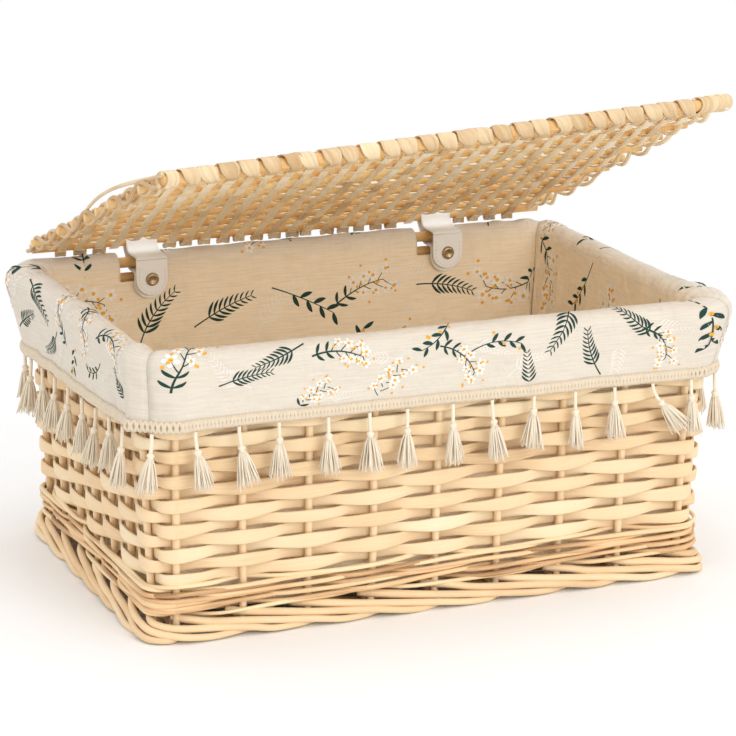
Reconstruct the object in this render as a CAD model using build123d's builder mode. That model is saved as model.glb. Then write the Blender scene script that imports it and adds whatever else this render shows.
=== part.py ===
from build123d import *

import os
from math import atan2, cos, degrees, hypot, radians, sin

os.makedirs("parts", exist_ok=True)

# A lidded willow sewing basket with a cotton lining, in millimetres, +Z up.
# The origin is on the floor under the middle of the basket, +X runs along its length, -Y is its front.

# The wall, measured on the centre line of the stakes
rim_length = 378
rim_width = 250
rim_height = 177.6
base_height = 8
wall_lean = 7
corner_radius = 18

# Round stakes that stand in the wall
stake_d = 4.6
stake_foot = 3
stakes_long = 9
stakes_short = 7

# Flat split-willow weavers, one ring to a row
weaver_thick = 2
weaver_height = 7.2
weaver_pitch = 7.8
weaver_first = 35.6
weaver_rows = 16
weave_gap = 0.4
bend_radius = 10
corner_bend = 3.5
corner_shift = 0.75
corner_slack = 0.17

# Thin brown rods waled in pairs round the foot of the wall
wale_d = 3.2
wale_pitch = 3.3
wale_first = 17.0
wale_pairs = 3

# Rolled border under the base: one rod starts at each stake and slopes down and out to the floor
foot_d = 6
foot_steps = [(5.7, 11.9), (8.6, 6.0), (10.3, 2.3)]
foot_overlap = 0.6
foot_bend = 8

# Base of sticks and flat bands
base_stick_d = 5
base_band_width = 9
base_band_pitch = 9.8
base_band_thick = 1.4
base_bands = 22
base_band_end = 6
stick_gap = 0.15

# Rim hoops
hoop_d = 7.2
hoop_spacing = 10.4

# Cotton lining: inner wall, fold over the rim and outer cuff
cloth = 1.2
lining_inside = 8.1
floor_level = 12.6
fold_height = 174
fold_top = 182.9
cuff_flare = 9.5
cuff_flare_height = 172
cuff_hem = 6.6
cuff_bottom = 131.5
floor_gap = 0.3
notch_left = 20
notch_right = 12.5
notch_bottom = 166.5

# Braid and tassels on the hem of the cuff
braid_inside = 7.75
braid_thick = 1.8
braid_height = 8
braid_bottom = 129
tassel_pitch = 27.7
tassel_cord_r = 0.9
tassel_cord = 14
tassel_knot_r = 2.6
tassel_knot = 5
tassel_neck_r = 1.9
tassel_skirt_r = 4.4
tassel_skirt = 17

# Lid, drawn open as it stands at rest, with a slight twist that lifts its right front corner
lid_open = 22
lid_twist = 2.2
hinge_back = 135.6
hinge_height = 190
lid_depth = 292
lid_half = 190
rail_short = 2
back_rail_d = 7
front_rail_d = 7.4
lid_rod_d = 5.2
lid_rods = 9
strip_thick = 1.2
strip_width = 5.6
strip_pitch = 6.3
strips = 55
strip_gap = 0.3
twine_d = 2.8
twine_first = 178.4
twine_pitch = 3.5
twines = 3
twine_start = 8
twine_gap = 0.8

# Hinge straps with press studs
strap_place = 108
strap_width = 22
strap_thick = 1.6
strap_clear = 0.4
strap_relief = 14
tail_face = 112.6
tail_end_centre = 165.5
flap_gap = 2.2
flap_top = 181
flap_end_centre = 168.5
flap_clear = 0.3
stud_rivet_r = 1.2
stud_hole_r = 1.25
cap_r = 4.6
cap_rise = 1.5
socket_r = 3.6
socket_deep = 1.2
stud_base_r = 3.4
stud_base = 0.6
stud_post_r = 1.7
stud_post = 1.1
stud_bore_r = 1.9
stud_bore = 1.0
stud_back_r = 3.0
stud_back = 0.5

# Worked-out places shared by several pieces
corner_x = rim_length / 2 - corner_radius
corner_y = rim_width / 2 - corner_radius
hoop_y = rim_width / 2
lower_hoop_height = rim_height - hoop_spacing
stake_top = lower_hoop_height - hoop_d / 2 - 0.1


def save(piece, name):
    """Labels a finished piece and writes it."""
    piece.part.label = name
    export_step(piece.part, f"parts/{name}.step")


def wall_inset(z):
    """How far the stake line at height z lies inside the rim line."""
    return wall_lean * (rim_height - z) / (rim_height - base_height)


def spread(half, count):
    """Evenly spaced places from -half to +half."""
    return [-half + 2 * half * i / (count - 1) for i in range(count)]


long_places = spread(corner_x, stakes_long)
short_places = spread(corner_y, stakes_short)


def side_spots(side, z):
    """Stake centres of one side at height z, in order round the basket, and the side's outward normal."""
    reach_x = rim_length / 2 - wall_inset(z)
    reach_y = rim_width / 2 - wall_inset(z)
    if side == "front":
        return [Vector(x, -reach_y, z) for x in long_places], Vector(0, -1, 0)
    if side == "right":
        return [Vector(reach_x, y, z) for y in short_places], Vector(1, 0, 0)
    if side == "back":
        return [Vector(-x, reach_y, z) for x in long_places], Vector(0, 1, 0)
    return [Vector(-reach_x, -y, z) for y in short_places], Vector(-1, 0, 0)


sides = ["front", "right", "back", "left"]


def ring_spots(z):
    """All stake centres at height z, in order round the basket, each with its outward normal.

    The third value points along the side to the corner that a stake flanks, and is zero elsewhere.
    """
    spots = []
    for side in sides:
        places, normal = side_spots(side, z)
        along = (places[-1] - places[0]).normalized()
        to_corner = [-along] + [Vector(0, 0, 0)] * (len(places) - 2) + [along]
        spots += [(place, normal, corner) for place, corner in zip(places, to_corner)]
    return spots


def outside_point(spot, out):
    """A point that far outside a stake, wider and nearer the corner where the stake flanks one."""
    place, normal, corner = spot
    return place + (normal * (1 + corner.length * corner_slack) + corner * corner_shift) * out


def woven_points(z, phase, swing):
    """A rod's turning points as it passes outside and inside of the stakes by turns."""
    points = []
    for i, spot in enumerate(ring_spots(z)):
        place, normal, corner = spot
        if (i + phase) % 2 == 0:
            points.append(outside_point(spot, swing))
        else:
            points.append(place - normal * (swing * (1 + corner.length * corner_slack)))
    return points


def woven_radii():
    """Bend radii at the stakes, tighter at the two that flank each corner."""
    radii = []
    for side in sides:
        count = len(side_spots(side, 0)[0])
        radii += [corner_bend] + [bend_radius] * (count - 2) + [corner_bend]
    return radii


# Stakes, one node for each side
for side in sides:
    feet, normal = side_spots(side, stake_foot)
    heads, normal = side_spots(side, stake_top)
    with BuildPart() as stakes:
        for foot, head in zip(feet, heads):
            with BuildSketch(Plane(origin=foot, z_dir=head - foot)):
                Circle(stake_d / 2)
            extrude(amount=(head - foot).length)
    save(stakes, f"stakes_{side}")

# Weaver rows, each a flat band bent in and out between the stakes
weaver_swing = (stake_d + weaver_thick) / 2 + weave_gap
for row in range(weaver_rows):
    row_bottom = weaver_first + row * weaver_pitch
    row_points = woven_points(row_bottom + weaver_height / 2, row, weaver_swing)
    with BuildPart() as weaver:
        with BuildSketch(Plane.XY.offset(row_bottom)):
            with BuildLine():
                FilletPolyline(*[(p.X, p.Y) for p in row_points], radius=woven_radii(), close=True)
            make_face()
            offset(amount=weaver_thick / 2)
            offset(amount=-weaver_thick, mode=Mode.SUBTRACT)
        extrude(amount=weaver_height)
    save(weaver, f"weaver_row_{row + 1:02d}")

# Waling, two thin round rods to a node, one passing outside where the other passes inside
wale_swing = (stake_d + wale_d) / 2 + weave_gap
for pair in range(wale_pairs):
    with BuildPart() as wale:
        for phase in (0, 1):
            height = wale_first + (2 * pair + phase) * wale_pitch
            with BuildLine() as route:
                FilletPolyline(*woven_points(height, phase, wale_swing), radius=woven_radii(), close=True)
            with BuildSketch(Plane(origin=route.line @ 0, z_dir=route.line % 0)):
                Circle(wale_d / 2)
            sweep(path=route.line)
    save(wale, f"wale_pair_{pair + 1}")

# Foot border, cut flat where it stands on the floor
foot_spots = ring_spots(base_height)
with BuildPart() as foot_border:
    for i in range(len(foot_spots)):
        passed = foot_spots[(i + 1) % len(foot_spots)]
        beyond = foot_spots[(i + 2) % len(foot_spots)]
        (start_out, start_z), (middle_out, middle_z), (end_out, end_z) = foot_steps
        start = outside_point(foot_spots[i], start_out)
        middle = outside_point(passed, middle_out)
        end = outside_point(passed, end_out)
        end += (outside_point(beyond, end_out) - end) * foot_overlap
        levels = ((start, start_z), (middle, middle_z), (end, end_z))
        stations = [Vector(point.X, point.Y, z) for point, z in levels]
        first_run = stations[1] - stations[0]
        second_run = stations[2] - stations[1]
        with BuildLine() as route:
            if first_run.get_angle(second_run) < 3:
                Line(stations[0], stations[2])
            else:
                FilletPolyline(*stations, radius=foot_bend)
        with BuildSketch(Plane(origin=route.line @ 0, z_dir=route.line % 0)):
            Circle(foot_d / 2)
        sweep(path=route.line)
    split(bisect_by=Plane.XY, keep=Keep.TOP)
save(foot_border, "foot_border")

# Base sticks run from front stake to back stake
base_half_y = rim_width / 2 - wall_lean - stake_d / 2 - stick_gap
with BuildPart() as base_sticks:
    for x in long_places:
        with BuildSketch(Plane.XZ.offset(-base_half_y)):
            with Locations((x, base_height)):
                Circle(base_stick_d / 2)
        extrude(amount=2 * base_half_y)
save(base_sticks, "base_sticks")


def zigzag(places, swing, phase):
    """Turning points of a flat band that goes over and under what lies at the given places."""
    return [(place, swing if (i + phase) % 2 == 0 else -swing) for i, place in enumerate(places)]


# Base bands, flat strips over and under the sticks
base_swing = (base_stick_d + base_band_thick) / 2 + stick_gap
band_places = [long_places[0] - base_band_end] + long_places + [long_places[-1] + base_band_end]
with BuildPart() as base_weave:
    for band in range(base_bands):
        turns = zigzag(long_places, base_swing, band)
        line = [(band_places[0], turns[0][1])] + turns + [(band_places[-1], turns[-1][1])]
        upper = [(x, base_height + z + base_band_thick / 2) for x, z in line]
        lower = [(x, base_height + z - base_band_thick / 2) for x, z in reversed(line)]
        band_y = (band - (base_bands - 1) / 2) * base_band_pitch
        with BuildSketch(Plane.XZ.offset(-band_y - base_band_width / 2)):
            with BuildLine():
                Polyline(*upper, *lower, close=True)
            make_face()
        extrude(amount=base_band_width)
save(base_weave, "base_weave")


def rim_line(height, out=0):
    """The rounded rectangle that lies that far outside the rim line, at a height."""
    with BuildSketch(Plane.XY.offset(height)) as plan:
        RectangleRounded(rim_length + 2 * out, rim_width + 2 * out, corner_radius + out)
    return plan.sketch.face().outer_wire()


def across(path):
    """The plane across the start of a path."""
    return Plane(origin=path @ 0, z_dir=path % 0)


# Rim hoops
for name, height in (("rim_upper_hoop", rim_height), ("rim_lower_hoop", lower_hoop_height)):
    hoop_path = rim_line(height)
    with BuildPart() as hoop:
        with BuildSketch(across(hoop_path)):
            Circle(hoop_d / 2)
        sweep(path=hoop_path)
    save(hoop, name)

# Lining: one strip of cloth swept round the rim line, up inside the wall, over the hoops and down outside
lining_path = rim_line(0)
start_point = lining_path @ 0
start_along = lining_path % 0
outward = start_along.cross(Vector(0, 0, 1))
if outward.dot(start_point) < 0:
    outward = -outward
lining_plane = Plane(origin=start_point, x_dir=outward, z_dir=outward.cross(Vector(0, 0, 1)))
half_cloth = cloth / 2
lining_foot = lining_inside + wall_inset(floor_level)
fold_middle = (cuff_flare - lining_inside) / 2


def lining_edge(shift):
    """One face of the cloth, moved inward over the lining or outward over the cuff by the shift."""
    Line((-lining_foot - shift, floor_level), (-lining_inside - shift, fold_height))
    ThreePointArc(
        (-lining_inside - shift, fold_height),
        (fold_middle, fold_top + shift),
        (cuff_flare + shift, cuff_flare_height),
    )
    Line((cuff_flare + shift, cuff_flare_height), (cuff_hem + shift, cuff_bottom))


with BuildPart() as lining:
    with BuildSketch(lining_plane):
        with BuildLine():
            lining_edge(half_cloth)
            Line((cuff_hem + half_cloth, cuff_bottom), (cuff_hem - half_cloth, cuff_bottom))
            lining_edge(-half_cloth)
            Line((-lining_foot + half_cloth, floor_level), (-lining_foot - half_cloth, floor_level))
        make_face()
    sweep(path=lining_path)

seams = {
    "front": [((corner_x, -corner_y, 0), (1, 1, 0)), ((-corner_x, -corner_y, 0), (-1, 1, 0))],
    "right": [((corner_x, -corner_y, 0), (-1, -1, 0)), ((corner_x, corner_y, 0), (-1, 1, 0))],
    "back": [((corner_x, corner_y, 0), (1, -1, 0)), ((-corner_x, corner_y, 0), (-1, -1, 0))],
    "left": [((-corner_x, -corner_y, 0), (1, -1, 0)), ((-corner_x, corner_y, 0), (1, 1, 0))],
}
notch_width = notch_left + notch_right
for side in sides:
    with BuildPart() as panel:
        add(lining.part)
        for corner, away in seams[side]:
            split(bisect_by=Plane(origin=corner, z_dir=away), keep=Keep.BOTTOM)
        if side == "back":
            with BuildSketch(Plane.XY.offset(notch_bottom)):
                for x in (-strap_place, strap_place):
                    with Locations((x + (notch_right - notch_left) / 2, hoop_y)):
                        Rectangle(notch_width, 6 * hoop_d)
            extrude(amount=fold_top, mode=Mode.SUBTRACT)
    save(panel, f"lining_{side}")

# Lining floor
floor_inset = lining_foot + half_cloth + floor_gap
with BuildPart() as lining_floor:
    with BuildSketch(Plane.XY.offset(floor_level)):
        RectangleRounded(
            rim_length - 2 * floor_inset, rim_width - 2 * floor_inset, corner_radius - floor_inset
        )
    extrude(amount=cloth)
save(lining_floor, "lining_floor")

# Braid sewn round the hem of the cuff
with BuildPart() as trim_braid:
    with BuildSketch(Plane.XY.offset(braid_bottom)):
        for out, mode in ((braid_inside + braid_thick, Mode.ADD), (braid_inside, Mode.SUBTRACT)):
            RectangleRounded(rim_length + 2 * out, rim_width + 2 * out, corner_radius + out, mode=mode)
    extrude(amount=braid_height)
save(trim_braid, "trim_braid")

# One tassel: a cord, a knot and a flared skirt, hanging down from the origin
with BuildPart() as tassel:
    with BuildSketch(Plane.XZ):
        with BuildLine():
            knot_top = -tassel_cord
            knot_middle = knot_top - tassel_knot / 2
            knot_bottom = knot_top - tassel_knot
            skirt_bottom = knot_bottom - tassel_skirt
            Polyline((0, 0), (tassel_cord_r, 0), (tassel_cord_r, knot_top))
            ThreePointArc(
                (tassel_cord_r, knot_top), (tassel_knot_r, knot_middle), (tassel_neck_r, knot_bottom)
            )
            Polyline(
                (tassel_neck_r, knot_bottom), (tassel_skirt_r, skirt_bottom), (0, skirt_bottom), (0, 0)
            )
        make_face()
    revolve(axis=Axis.Z)

# Tassels spaced evenly round the braid, one node for each side
tassel_line = rim_line(braid_bottom, braid_inside + braid_thick / 2)
tassel_count = round(tassel_line.length / tassel_pitch)
tassel_spots = {side: [] for side in sides}
for i in range(tassel_count):
    spot = tassel_line @ ((i + 0.5) / tassel_count)
    if abs(spot.X) - corner_x > abs(spot.Y) - corner_y:
        tassel_spots["right" if spot.X > 0 else "left"].append(spot)
    else:
        tassel_spots["back" if spot.Y > 0 else "front"].append(spot)
for side in sides:
    with BuildPart() as tassels:
        with Locations(*tassel_spots[side]):
            add(tassel.part)
    save(tassels, f"tassels_{side}")


def lid_angle(x):
    """How far the lid stands open at a place along its length, in radians."""
    return radians(lid_open + lid_twist * x / lid_half)


def lid_point(x, depth):
    """A point of the lid's middle surface, that far from the hinge line."""
    angle = lid_angle(x)
    return Vector(x, hinge_back - depth * cos(angle), hinge_height + depth * sin(angle))


def lid_plane(x):
    """The plane across the lid at x: its first axis runs from the hinge to the front, its second up."""
    angle = lid_angle(x)
    return Plane(origin=(x, hinge_back, hinge_height), x_dir=(0, -cos(angle), sin(angle)), z_dir=(-1, 0, 0))


# Rails and rods of the lid
rod_depths = [lid_depth * (i + 1) / (lid_rods + 1) for i in range(lid_rods)]
rod_sets = (
    ("lid_back_rail", [0], lid_half - rail_short, back_rail_d),
    ("lid_front_rail", [lid_depth], lid_half - rail_short, front_rail_d),
    ("lid_rods", rod_depths, lid_half, lid_rod_d),
)
for name, depths, half, diameter in rod_sets:
    with BuildPart() as rod_set:
        for depth in depths:
            left = lid_point(-half, depth)
            right = lid_point(half, depth)
            with BuildSketch(Plane(origin=left, z_dir=right - left)):
                Circle(diameter / 2)
            extrude(amount=(right - left).length)
    save(rod_set, name)

# Strips from back to front, over and under the rods and hooked round both rails
strip_swing = (lid_rod_d + strip_thick) / 2 + strip_gap
back_hook = (back_rail_d + strip_thick) / 2 + strip_gap
front_hook = (front_rail_d + strip_thick) / 2 + strip_gap
half_strip = strip_thick / 2


def strip_line(phase, near_strap):
    """Turning points of a strip from the back rail to the front rail, all heights times the phase."""
    line = [(0, back_hook)]
    line += [(depth, strip_swing * (-1) ** (i + 1)) for i, depth in enumerate(rod_depths)]
    line += [(lid_depth, front_hook)]
    if near_strap:
        part = strap_relief / line[1][0]
        line[0] = (strap_relief, line[0][1] + (line[1][1] - line[0][1]) * part)
    return [(depth, height * phase) for depth, height in line]


def hook(centre, reach, radius, phase):
    """The half circle of a strip round a rail, on its far side."""
    top = (centre, radius * phase)
    bottom = (centre, -radius * phase)
    ThreePointArc(top, (centre + reach * radius, 0), bottom)


def strip_outline(phase, near_strap):
    """The closed outline of a strip, cut through along the lid's depth."""
    line = strip_line(phase, near_strap)
    Polyline(*[(depth, height + half_strip * phase) for depth, height in line])
    Polyline(*[(depth, height - half_strip * phase) for depth, height in line])
    hook(lid_depth, 1, front_hook + half_strip, phase)
    hook(lid_depth, 1, front_hook - half_strip, phase)
    Line((lid_depth, -(front_hook + half_strip) * phase), (lid_depth, -(front_hook - half_strip) * phase))
    if near_strap:
        depth, height = line[0]
        Line((depth, height + half_strip), (depth, height - half_strip))
    else:
        hook(0, -1, back_hook + half_strip, phase)
        hook(0, -1, back_hook - half_strip, phase)
        Line((0, -(back_hook + half_strip) * phase), (0, -(back_hook - half_strip) * phase))


with BuildPart() as lid_strips:
    for i in range(strips):
        x = (i - (strips - 1) / 2) * strip_pitch
        beside_strap = abs(abs(x) - strap_place) < (strap_width + strip_width) / 2 + strip_gap
        with BuildSketch(lid_plane(x)):
            with BuildLine():
                strip_outline((-1) ** i, beside_strap)
            make_face()
        extrude(amount=strip_width / 2, both=True)
save(lid_strips, "lid_strips")

# Thin rods twined along the two side edges of the lid
twine_swing = (lid_rod_d + twine_d) / 2 + twine_gap
twine_front = (front_rail_d + twine_d) / 2 + strip_gap
for name, way in (("lid_left_twine", -1), ("lid_right_twine", 1)):
    with BuildPart() as twine_set:
        for i in range(twines):
            cut = lid_plane(way * (twine_first + i * twine_pitch))
            phase = (-1) ** i
            turns = [(depth, phase * twine_swing * (-1) ** j) for j, depth in enumerate(rod_depths)]
            ends = [(twine_start, 0)], [(lid_depth, -phase * twine_front)]
            points = [cut.from_local_coords((u, v, 0)) for u, v in ends[0] + turns + ends[1]]
            with BuildLine() as route:
                FilletPolyline(*points, radius=bend_radius)
            with BuildSketch(across(route.line)):
                Circle(twine_d / 2)
            sweep(path=route.line)
    save(twine_set, name)

# Hinge straps: a loop round the upper hoop and the lid's back rail, with a tail inside the lining
loop_y = (hoop_y + hinge_back) / 2
loop_z = (rim_height + hinge_height) / 2
loop_span = hypot(hinge_back - hoop_y, hinge_height - rim_height)
loop_tilt = degrees(atan2(hinge_height - rim_height, hinge_back - hoop_y))
loop_inside = hoop_d + 2 * strap_clear
loop_outside = loop_inside + 2 * strap_thick
loop_bottom = rim_height - loop_outside / 2
tail_back = tail_face + strap_thick
flap_back = tail_face - flap_gap
flap_face = flap_back - strap_thick
flap_axis = flap_back - strap_thick / 2
bridge_end = flap_top + strap_thick / 2 + flap_clear
for side, x in (("left", -strap_place), ("right", strap_place)):
    with BuildPart() as strap:
        with BuildSketch(Plane.YZ.offset(x - strap_width / 2)):
            with Locations((loop_y, loop_z)):
                SlotCenterToCenter(loop_span, loop_outside, rotation=loop_tilt)
            with BuildLine():
                Polyline(
                    (flap_face, bridge_end),
                    (flap_back, bridge_end),
                    (hoop_y, loop_bottom + loop_outside),
                    (hoop_y, loop_bottom + loop_outside + strap_thick),
                    (flap_face, bridge_end + strap_thick),
                    close=True,
                )
            make_face()
            with BuildLine():
                Polyline(
                    (hoop_y, loop_bottom),
                    (hoop_y, loop_bottom + strap_thick),
                    (tail_face, loop_bottom + strap_thick),
                    (tail_face, tail_end_centre),
                    (tail_back, tail_end_centre),
                    (tail_back, loop_bottom),
                    close=True,
                )
            make_face()
            with Locations((loop_y, loop_z)):
                SlotCenterToCenter(loop_span, loop_inside, rotation=loop_tilt, mode=Mode.SUBTRACT)
        extrude(amount=strap_width)
        with BuildSketch(Plane.XZ.offset(-tail_back)):
            with Locations((x, tail_end_centre)):
                Circle(strap_width / 2)
        extrude(amount=strap_thick)
        with BuildSketch(Plane.XZ.offset(-tail_back)):
            with Locations((x, flap_end_centre)):
                Circle(stud_hole_r)
        extrude(amount=strap_thick, mode=Mode.SUBTRACT)
    save(strap, f"strap_{side}")

    with BuildPart() as flap:
        with BuildSketch(Plane.XZ.offset(-flap_back)):
            with Locations((x, (flap_top + flap_end_centre) / 2)):
                Rectangle(strap_width, flap_top - flap_end_centre)
            with Locations((x, flap_end_centre)):
                Circle(strap_width / 2)
                Circle(stud_hole_r, mode=Mode.SUBTRACT)
        extrude(amount=strap_thick)
        with BuildSketch(Plane.YZ.offset(x - strap_width / 2)):
            with Locations((flap_axis, flap_top)):
                Circle(strap_thick / 2)
        extrude(amount=strap_width)
    save(flap, f"strap_flap_{side}")

    stud_axis = Axis((x, 0, flap_end_centre), (0, 1, 0))
    stud_plane = Plane(origin=(x, 0, flap_end_centre), x_dir=(1, 0, 0), z_dir=(0, 0, 1))
    with BuildPart() as cap:
        with BuildSketch(stud_plane):
            with BuildLine():
                Polyline((0, flap_face - cap_rise), (cap_r / 2, flap_face - cap_rise))
                ThreePointArc(
                    (cap_r / 2, flap_face - cap_rise),
                    (cap_r * 0.87, flap_face - cap_rise * 0.62),
                    (cap_r, flap_face),
                )
                Polyline(
                    (cap_r, flap_face),
                    (stud_rivet_r, flap_face),
                    (stud_rivet_r, flap_back),
                    (socket_r, flap_back),
                    (socket_r, flap_back + socket_deep),
                    (stud_bore_r, flap_back + socket_deep),
                    (stud_bore_r, flap_back + socket_deep - stud_bore),
                    (0, flap_back + socket_deep - stud_bore),
                    (0, flap_face - cap_rise),
                )
            make_face()
        revolve(axis=stud_axis)
    save(cap, f"snap_cap_{side}")

    with BuildPart() as stud:
        with BuildSketch(stud_plane):
            with BuildLine():
                Polyline(
                    (0, tail_face - stud_base - stud_post),
                    (stud_post_r, tail_face - stud_base - stud_post),
                    (stud_post_r, tail_face - stud_base),
                    (stud_base_r, tail_face - stud_base),
                    (stud_base_r, tail_face),
                    (stud_rivet_r, tail_face),
                    (stud_rivet_r, tail_back),
                    (stud_back_r, tail_back),
                    (stud_back_r, tail_back + stud_back),
                    (0, tail_back + stud_back),
                    close=True,
                )
            make_face()
        revolve(axis=stud_axis)
    save(stud, f"snap_stud_{side}")
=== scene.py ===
import bpy
import numpy as np
from mathutils import Matrix, Vector


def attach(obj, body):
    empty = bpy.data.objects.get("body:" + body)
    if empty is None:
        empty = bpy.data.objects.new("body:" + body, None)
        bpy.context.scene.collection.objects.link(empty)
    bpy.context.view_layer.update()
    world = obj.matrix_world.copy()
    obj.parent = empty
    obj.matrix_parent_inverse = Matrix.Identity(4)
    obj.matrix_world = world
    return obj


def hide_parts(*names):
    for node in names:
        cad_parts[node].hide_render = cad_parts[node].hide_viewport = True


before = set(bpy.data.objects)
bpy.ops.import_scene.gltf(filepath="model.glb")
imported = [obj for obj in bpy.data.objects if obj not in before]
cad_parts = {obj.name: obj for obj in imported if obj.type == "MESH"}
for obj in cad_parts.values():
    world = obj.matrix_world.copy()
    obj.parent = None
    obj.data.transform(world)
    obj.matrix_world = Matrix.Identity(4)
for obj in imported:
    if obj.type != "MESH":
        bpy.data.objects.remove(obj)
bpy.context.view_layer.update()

# %% [markdown]
# # A lined willow sewing basket
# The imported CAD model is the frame. It fixes every size and every joint.
# Each visible piece is a numpy surface laid over it, in millimetres until it becomes a mesh.
# Piece by piece: the woven wall, the foot, the lining and its print, the braid and tassels,
# the lid, the straps.

# %% Sizes taken from the CAD
RIM_LENGTH, RIM_WIDTH, RIM_HEIGHT = 378.0, 250.0, 177.6
BASE_HEIGHT, WALL_LEAN, CORNER = 8.0, 7.0, 18.0
CORNER_X, CORNER_Y = RIM_LENGTH / 2 - CORNER, RIM_WIDTH / 2 - CORNER
STAKES = np.array([9, 7, 9, 7])
RING = int(STAKES.sum())
HINGE = np.array([0.0, 135.6, 190.0])
LID_OPEN, LID_TWIST, LID_HALF, LID_DEPTH = 22.0, 2.2, 190.0, 292.0
SIDES = ["front", "right", "back", "left"]
X_AXIS, UP = np.array([1.0, 0.0, 0.0]), np.array([0.0, 0.0, 1.0])
rng = np.random.default_rng(11)

# %% [markdown]
# ## Tools
# Almost everything here is a rod or a strip, so the main tool is a sweep: a ring of section points
# carried along a path. A curve with a bevel would do it too, but its section can't change its two
# widths separately along the way, as split willow does. So the points are worked out as one array.
# A pile gathers many sweeps, with a tint and a UV for every point, and becomes one mesh.


# %% A pile of parts becomes a mesh
class Pile:
    """Points, four-sided faces, tints, UVs and shading flags of one piece, gathered from many parts."""

    def __init__(self):
        """An empty pile."""
        self.points, self.faces, self.tints, self.uvs, self.smooths, self.total = [], [], [], [], [], 0

    def add(self, points, faces, tint=0.5, uv=None, smooth=True):
        """Take in one part. Its faces are renumbered by the points that are there already."""
        points = np.asarray(points, float).reshape(-1, 3)
        faces = np.asarray(faces, int).reshape(-1, 4)
        self.points.append(points)
        self.faces.append(faces + self.total)
        self.smooths.append(np.broadcast_to(np.asarray(smooth, bool), (len(faces),)))
        self.tints.append(np.broadcast_to(np.asarray(tint, float).ravel(), (len(points),)))
        self.uvs.append(np.zeros((len(points), 2)) if uv is None else np.asarray(uv, float).reshape(-1, 2))
        self.total += len(points)


def make(name, pile, material, body="basket", nodes=()):
    """One mesh object from a pile: metres, shading flags, a tint attribute and a UV map."""
    points = np.concatenate(pile.points) * 0.001
    faces = np.concatenate(pile.faces)
    mesh = bpy.data.meshes.new(name)
    mesh.from_pydata(points.tolist(), [], faces.tolist())
    tints = np.concatenate(pile.tints).astype(np.float32)
    mesh.attributes.new("tint", "FLOAT", "POINT").data.foreach_set("value", tints)
    uv = np.concatenate(pile.uvs)[faces.ravel()].astype(np.float32)
    mesh.uv_layers.new(name="UVMap").data.foreach_set("uv", uv.ravel())
    mesh.polygons.foreach_set("use_smooth", np.concatenate(pile.smooths))
    mesh.materials.append(material)
    mesh.update()
    piece = bpy.data.objects.new(name, mesh)
    bpy.context.scene.collection.objects.link(piece)
    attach(piece, body)
    if nodes:
        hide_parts(*nodes)
    print(f"{name}: {len(points)} points, {len(faces)} faces")
    return piece


# %% Faces between points
def grid_faces(rows, columns, close_rows=False, close_columns=False):
    """Four-sided faces between neighbours of a grid of points, wrapped round where it closes."""
    r = np.arange(rows if close_rows else rows - 1)[:, None]
    c = np.arange(columns if close_columns else columns - 1)[None, :]
    r2, c2 = (r + 1) % rows, (c + 1) % columns
    corners = [r * columns + c, r * columns + c2, r2 * columns + c2, r2 * columns + c]
    return np.stack(np.broadcast_arrays(*corners), -1).reshape(-1, 4)


def tube_faces(count, size):
    """Faces of a tube of rings, filled at both ends in strips, and which of them are its side."""
    side = grid_faces(count, size, close_columns=True)
    i = np.arange(size // 2 - 1)
    cap = np.stack([i, i + 1, size - 2 - i, size - 1 - i], 1)
    faces = np.concatenate([side, cap[:, ::-1], cap + (count - 1) * size])
    return faces, np.arange(len(faces)) < len(side)


def facing(points, faces, outward):
    """Faces turned over where the cross product of their diagonals points against the outward way."""
    a, b, c, d = (points[faces[:, k]] for k in range(4))
    against = (np.cross(c - a, d - b) * outward[faces].mean(1)).sum(1) < 0
    return np.where(against[:, None], faces[:, ::-1], faces)


print("A tube of 3 rings of 8 points has", len(tube_faces(3, 8)[0]), "faces")


# %% Sections
def superellipse(half_x, half_y, count=12, power=2.6):
    """Section points of a rounded bar: |x/a|^p + |y/b|^p = 1."""
    angle = np.arange(count) * 2 * np.pi / count
    c, s = np.cos(angle), np.sin(angle)
    round_off = 2 / power
    x = half_x * np.sign(c) * np.abs(c) ** round_off
    y = half_y * np.sign(s) * np.abs(s) ** round_off
    return np.stack([x, y], 1)


def round_bar(radius, count=10):
    """Section points of a round rod: the superellipse of power 2 is a circle."""
    return superellipse(radius, radius, count, 2)


def unit(vectors):
    """Vectors divided by their lengths."""
    return vectors / np.maximum(np.linalg.norm(vectors, axis=-1, keepdims=True), 1e-9)


print("A round bar has", len(round_bar(1.0)), "section points")


# %% Sweeps
def sweep(pile, path, first, second, section, scale=1.0, closed=False, tint=0.5):
    """Section carried along a path: point + first * x + second * y, flat caps at open ends."""
    path = np.asarray(path, float)
    count, size = len(path), len(section)
    scale = np.broadcast_to(np.asarray(scale, float), (count, 2) if np.ndim(scale) == 2 else (count,))
    if scale.ndim == 1:
        scale = np.stack([scale, scale], 1)
    x = section[None, :, 0, None] * scale[:, None, 0, None]
    y = section[None, :, 1, None] * scale[:, None, 1, None]
    points = path[:, None, :] + first[:, None, :] * x + second[:, None, :] * y
    faces, smooth = (grid_faces(count, size, True, True), True) if closed else tube_faces(count, size)
    if (np.cross(np.gradient(path, axis=0), first) * second).sum() < 0:
        faces = faces[:, ::-1]
    length = np.concatenate([[0], np.cumsum(np.linalg.norm(np.diff(path, axis=0), axis=1))])
    shift = rng.uniform(0, 500, 2)
    around = np.abs(np.linspace(-1, 1, size, endpoint=False)) * np.ptp(section, axis=0).sum()
    uv = np.stack(np.broadcast_arrays(length[:, None] + shift[0], around[None, :] + shift[1]), -1)
    tint = np.broadcast_to(np.asarray(tint, float), (count,))
    pile.add(points, faces, np.repeat(tint, size), uv, smooth)


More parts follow.
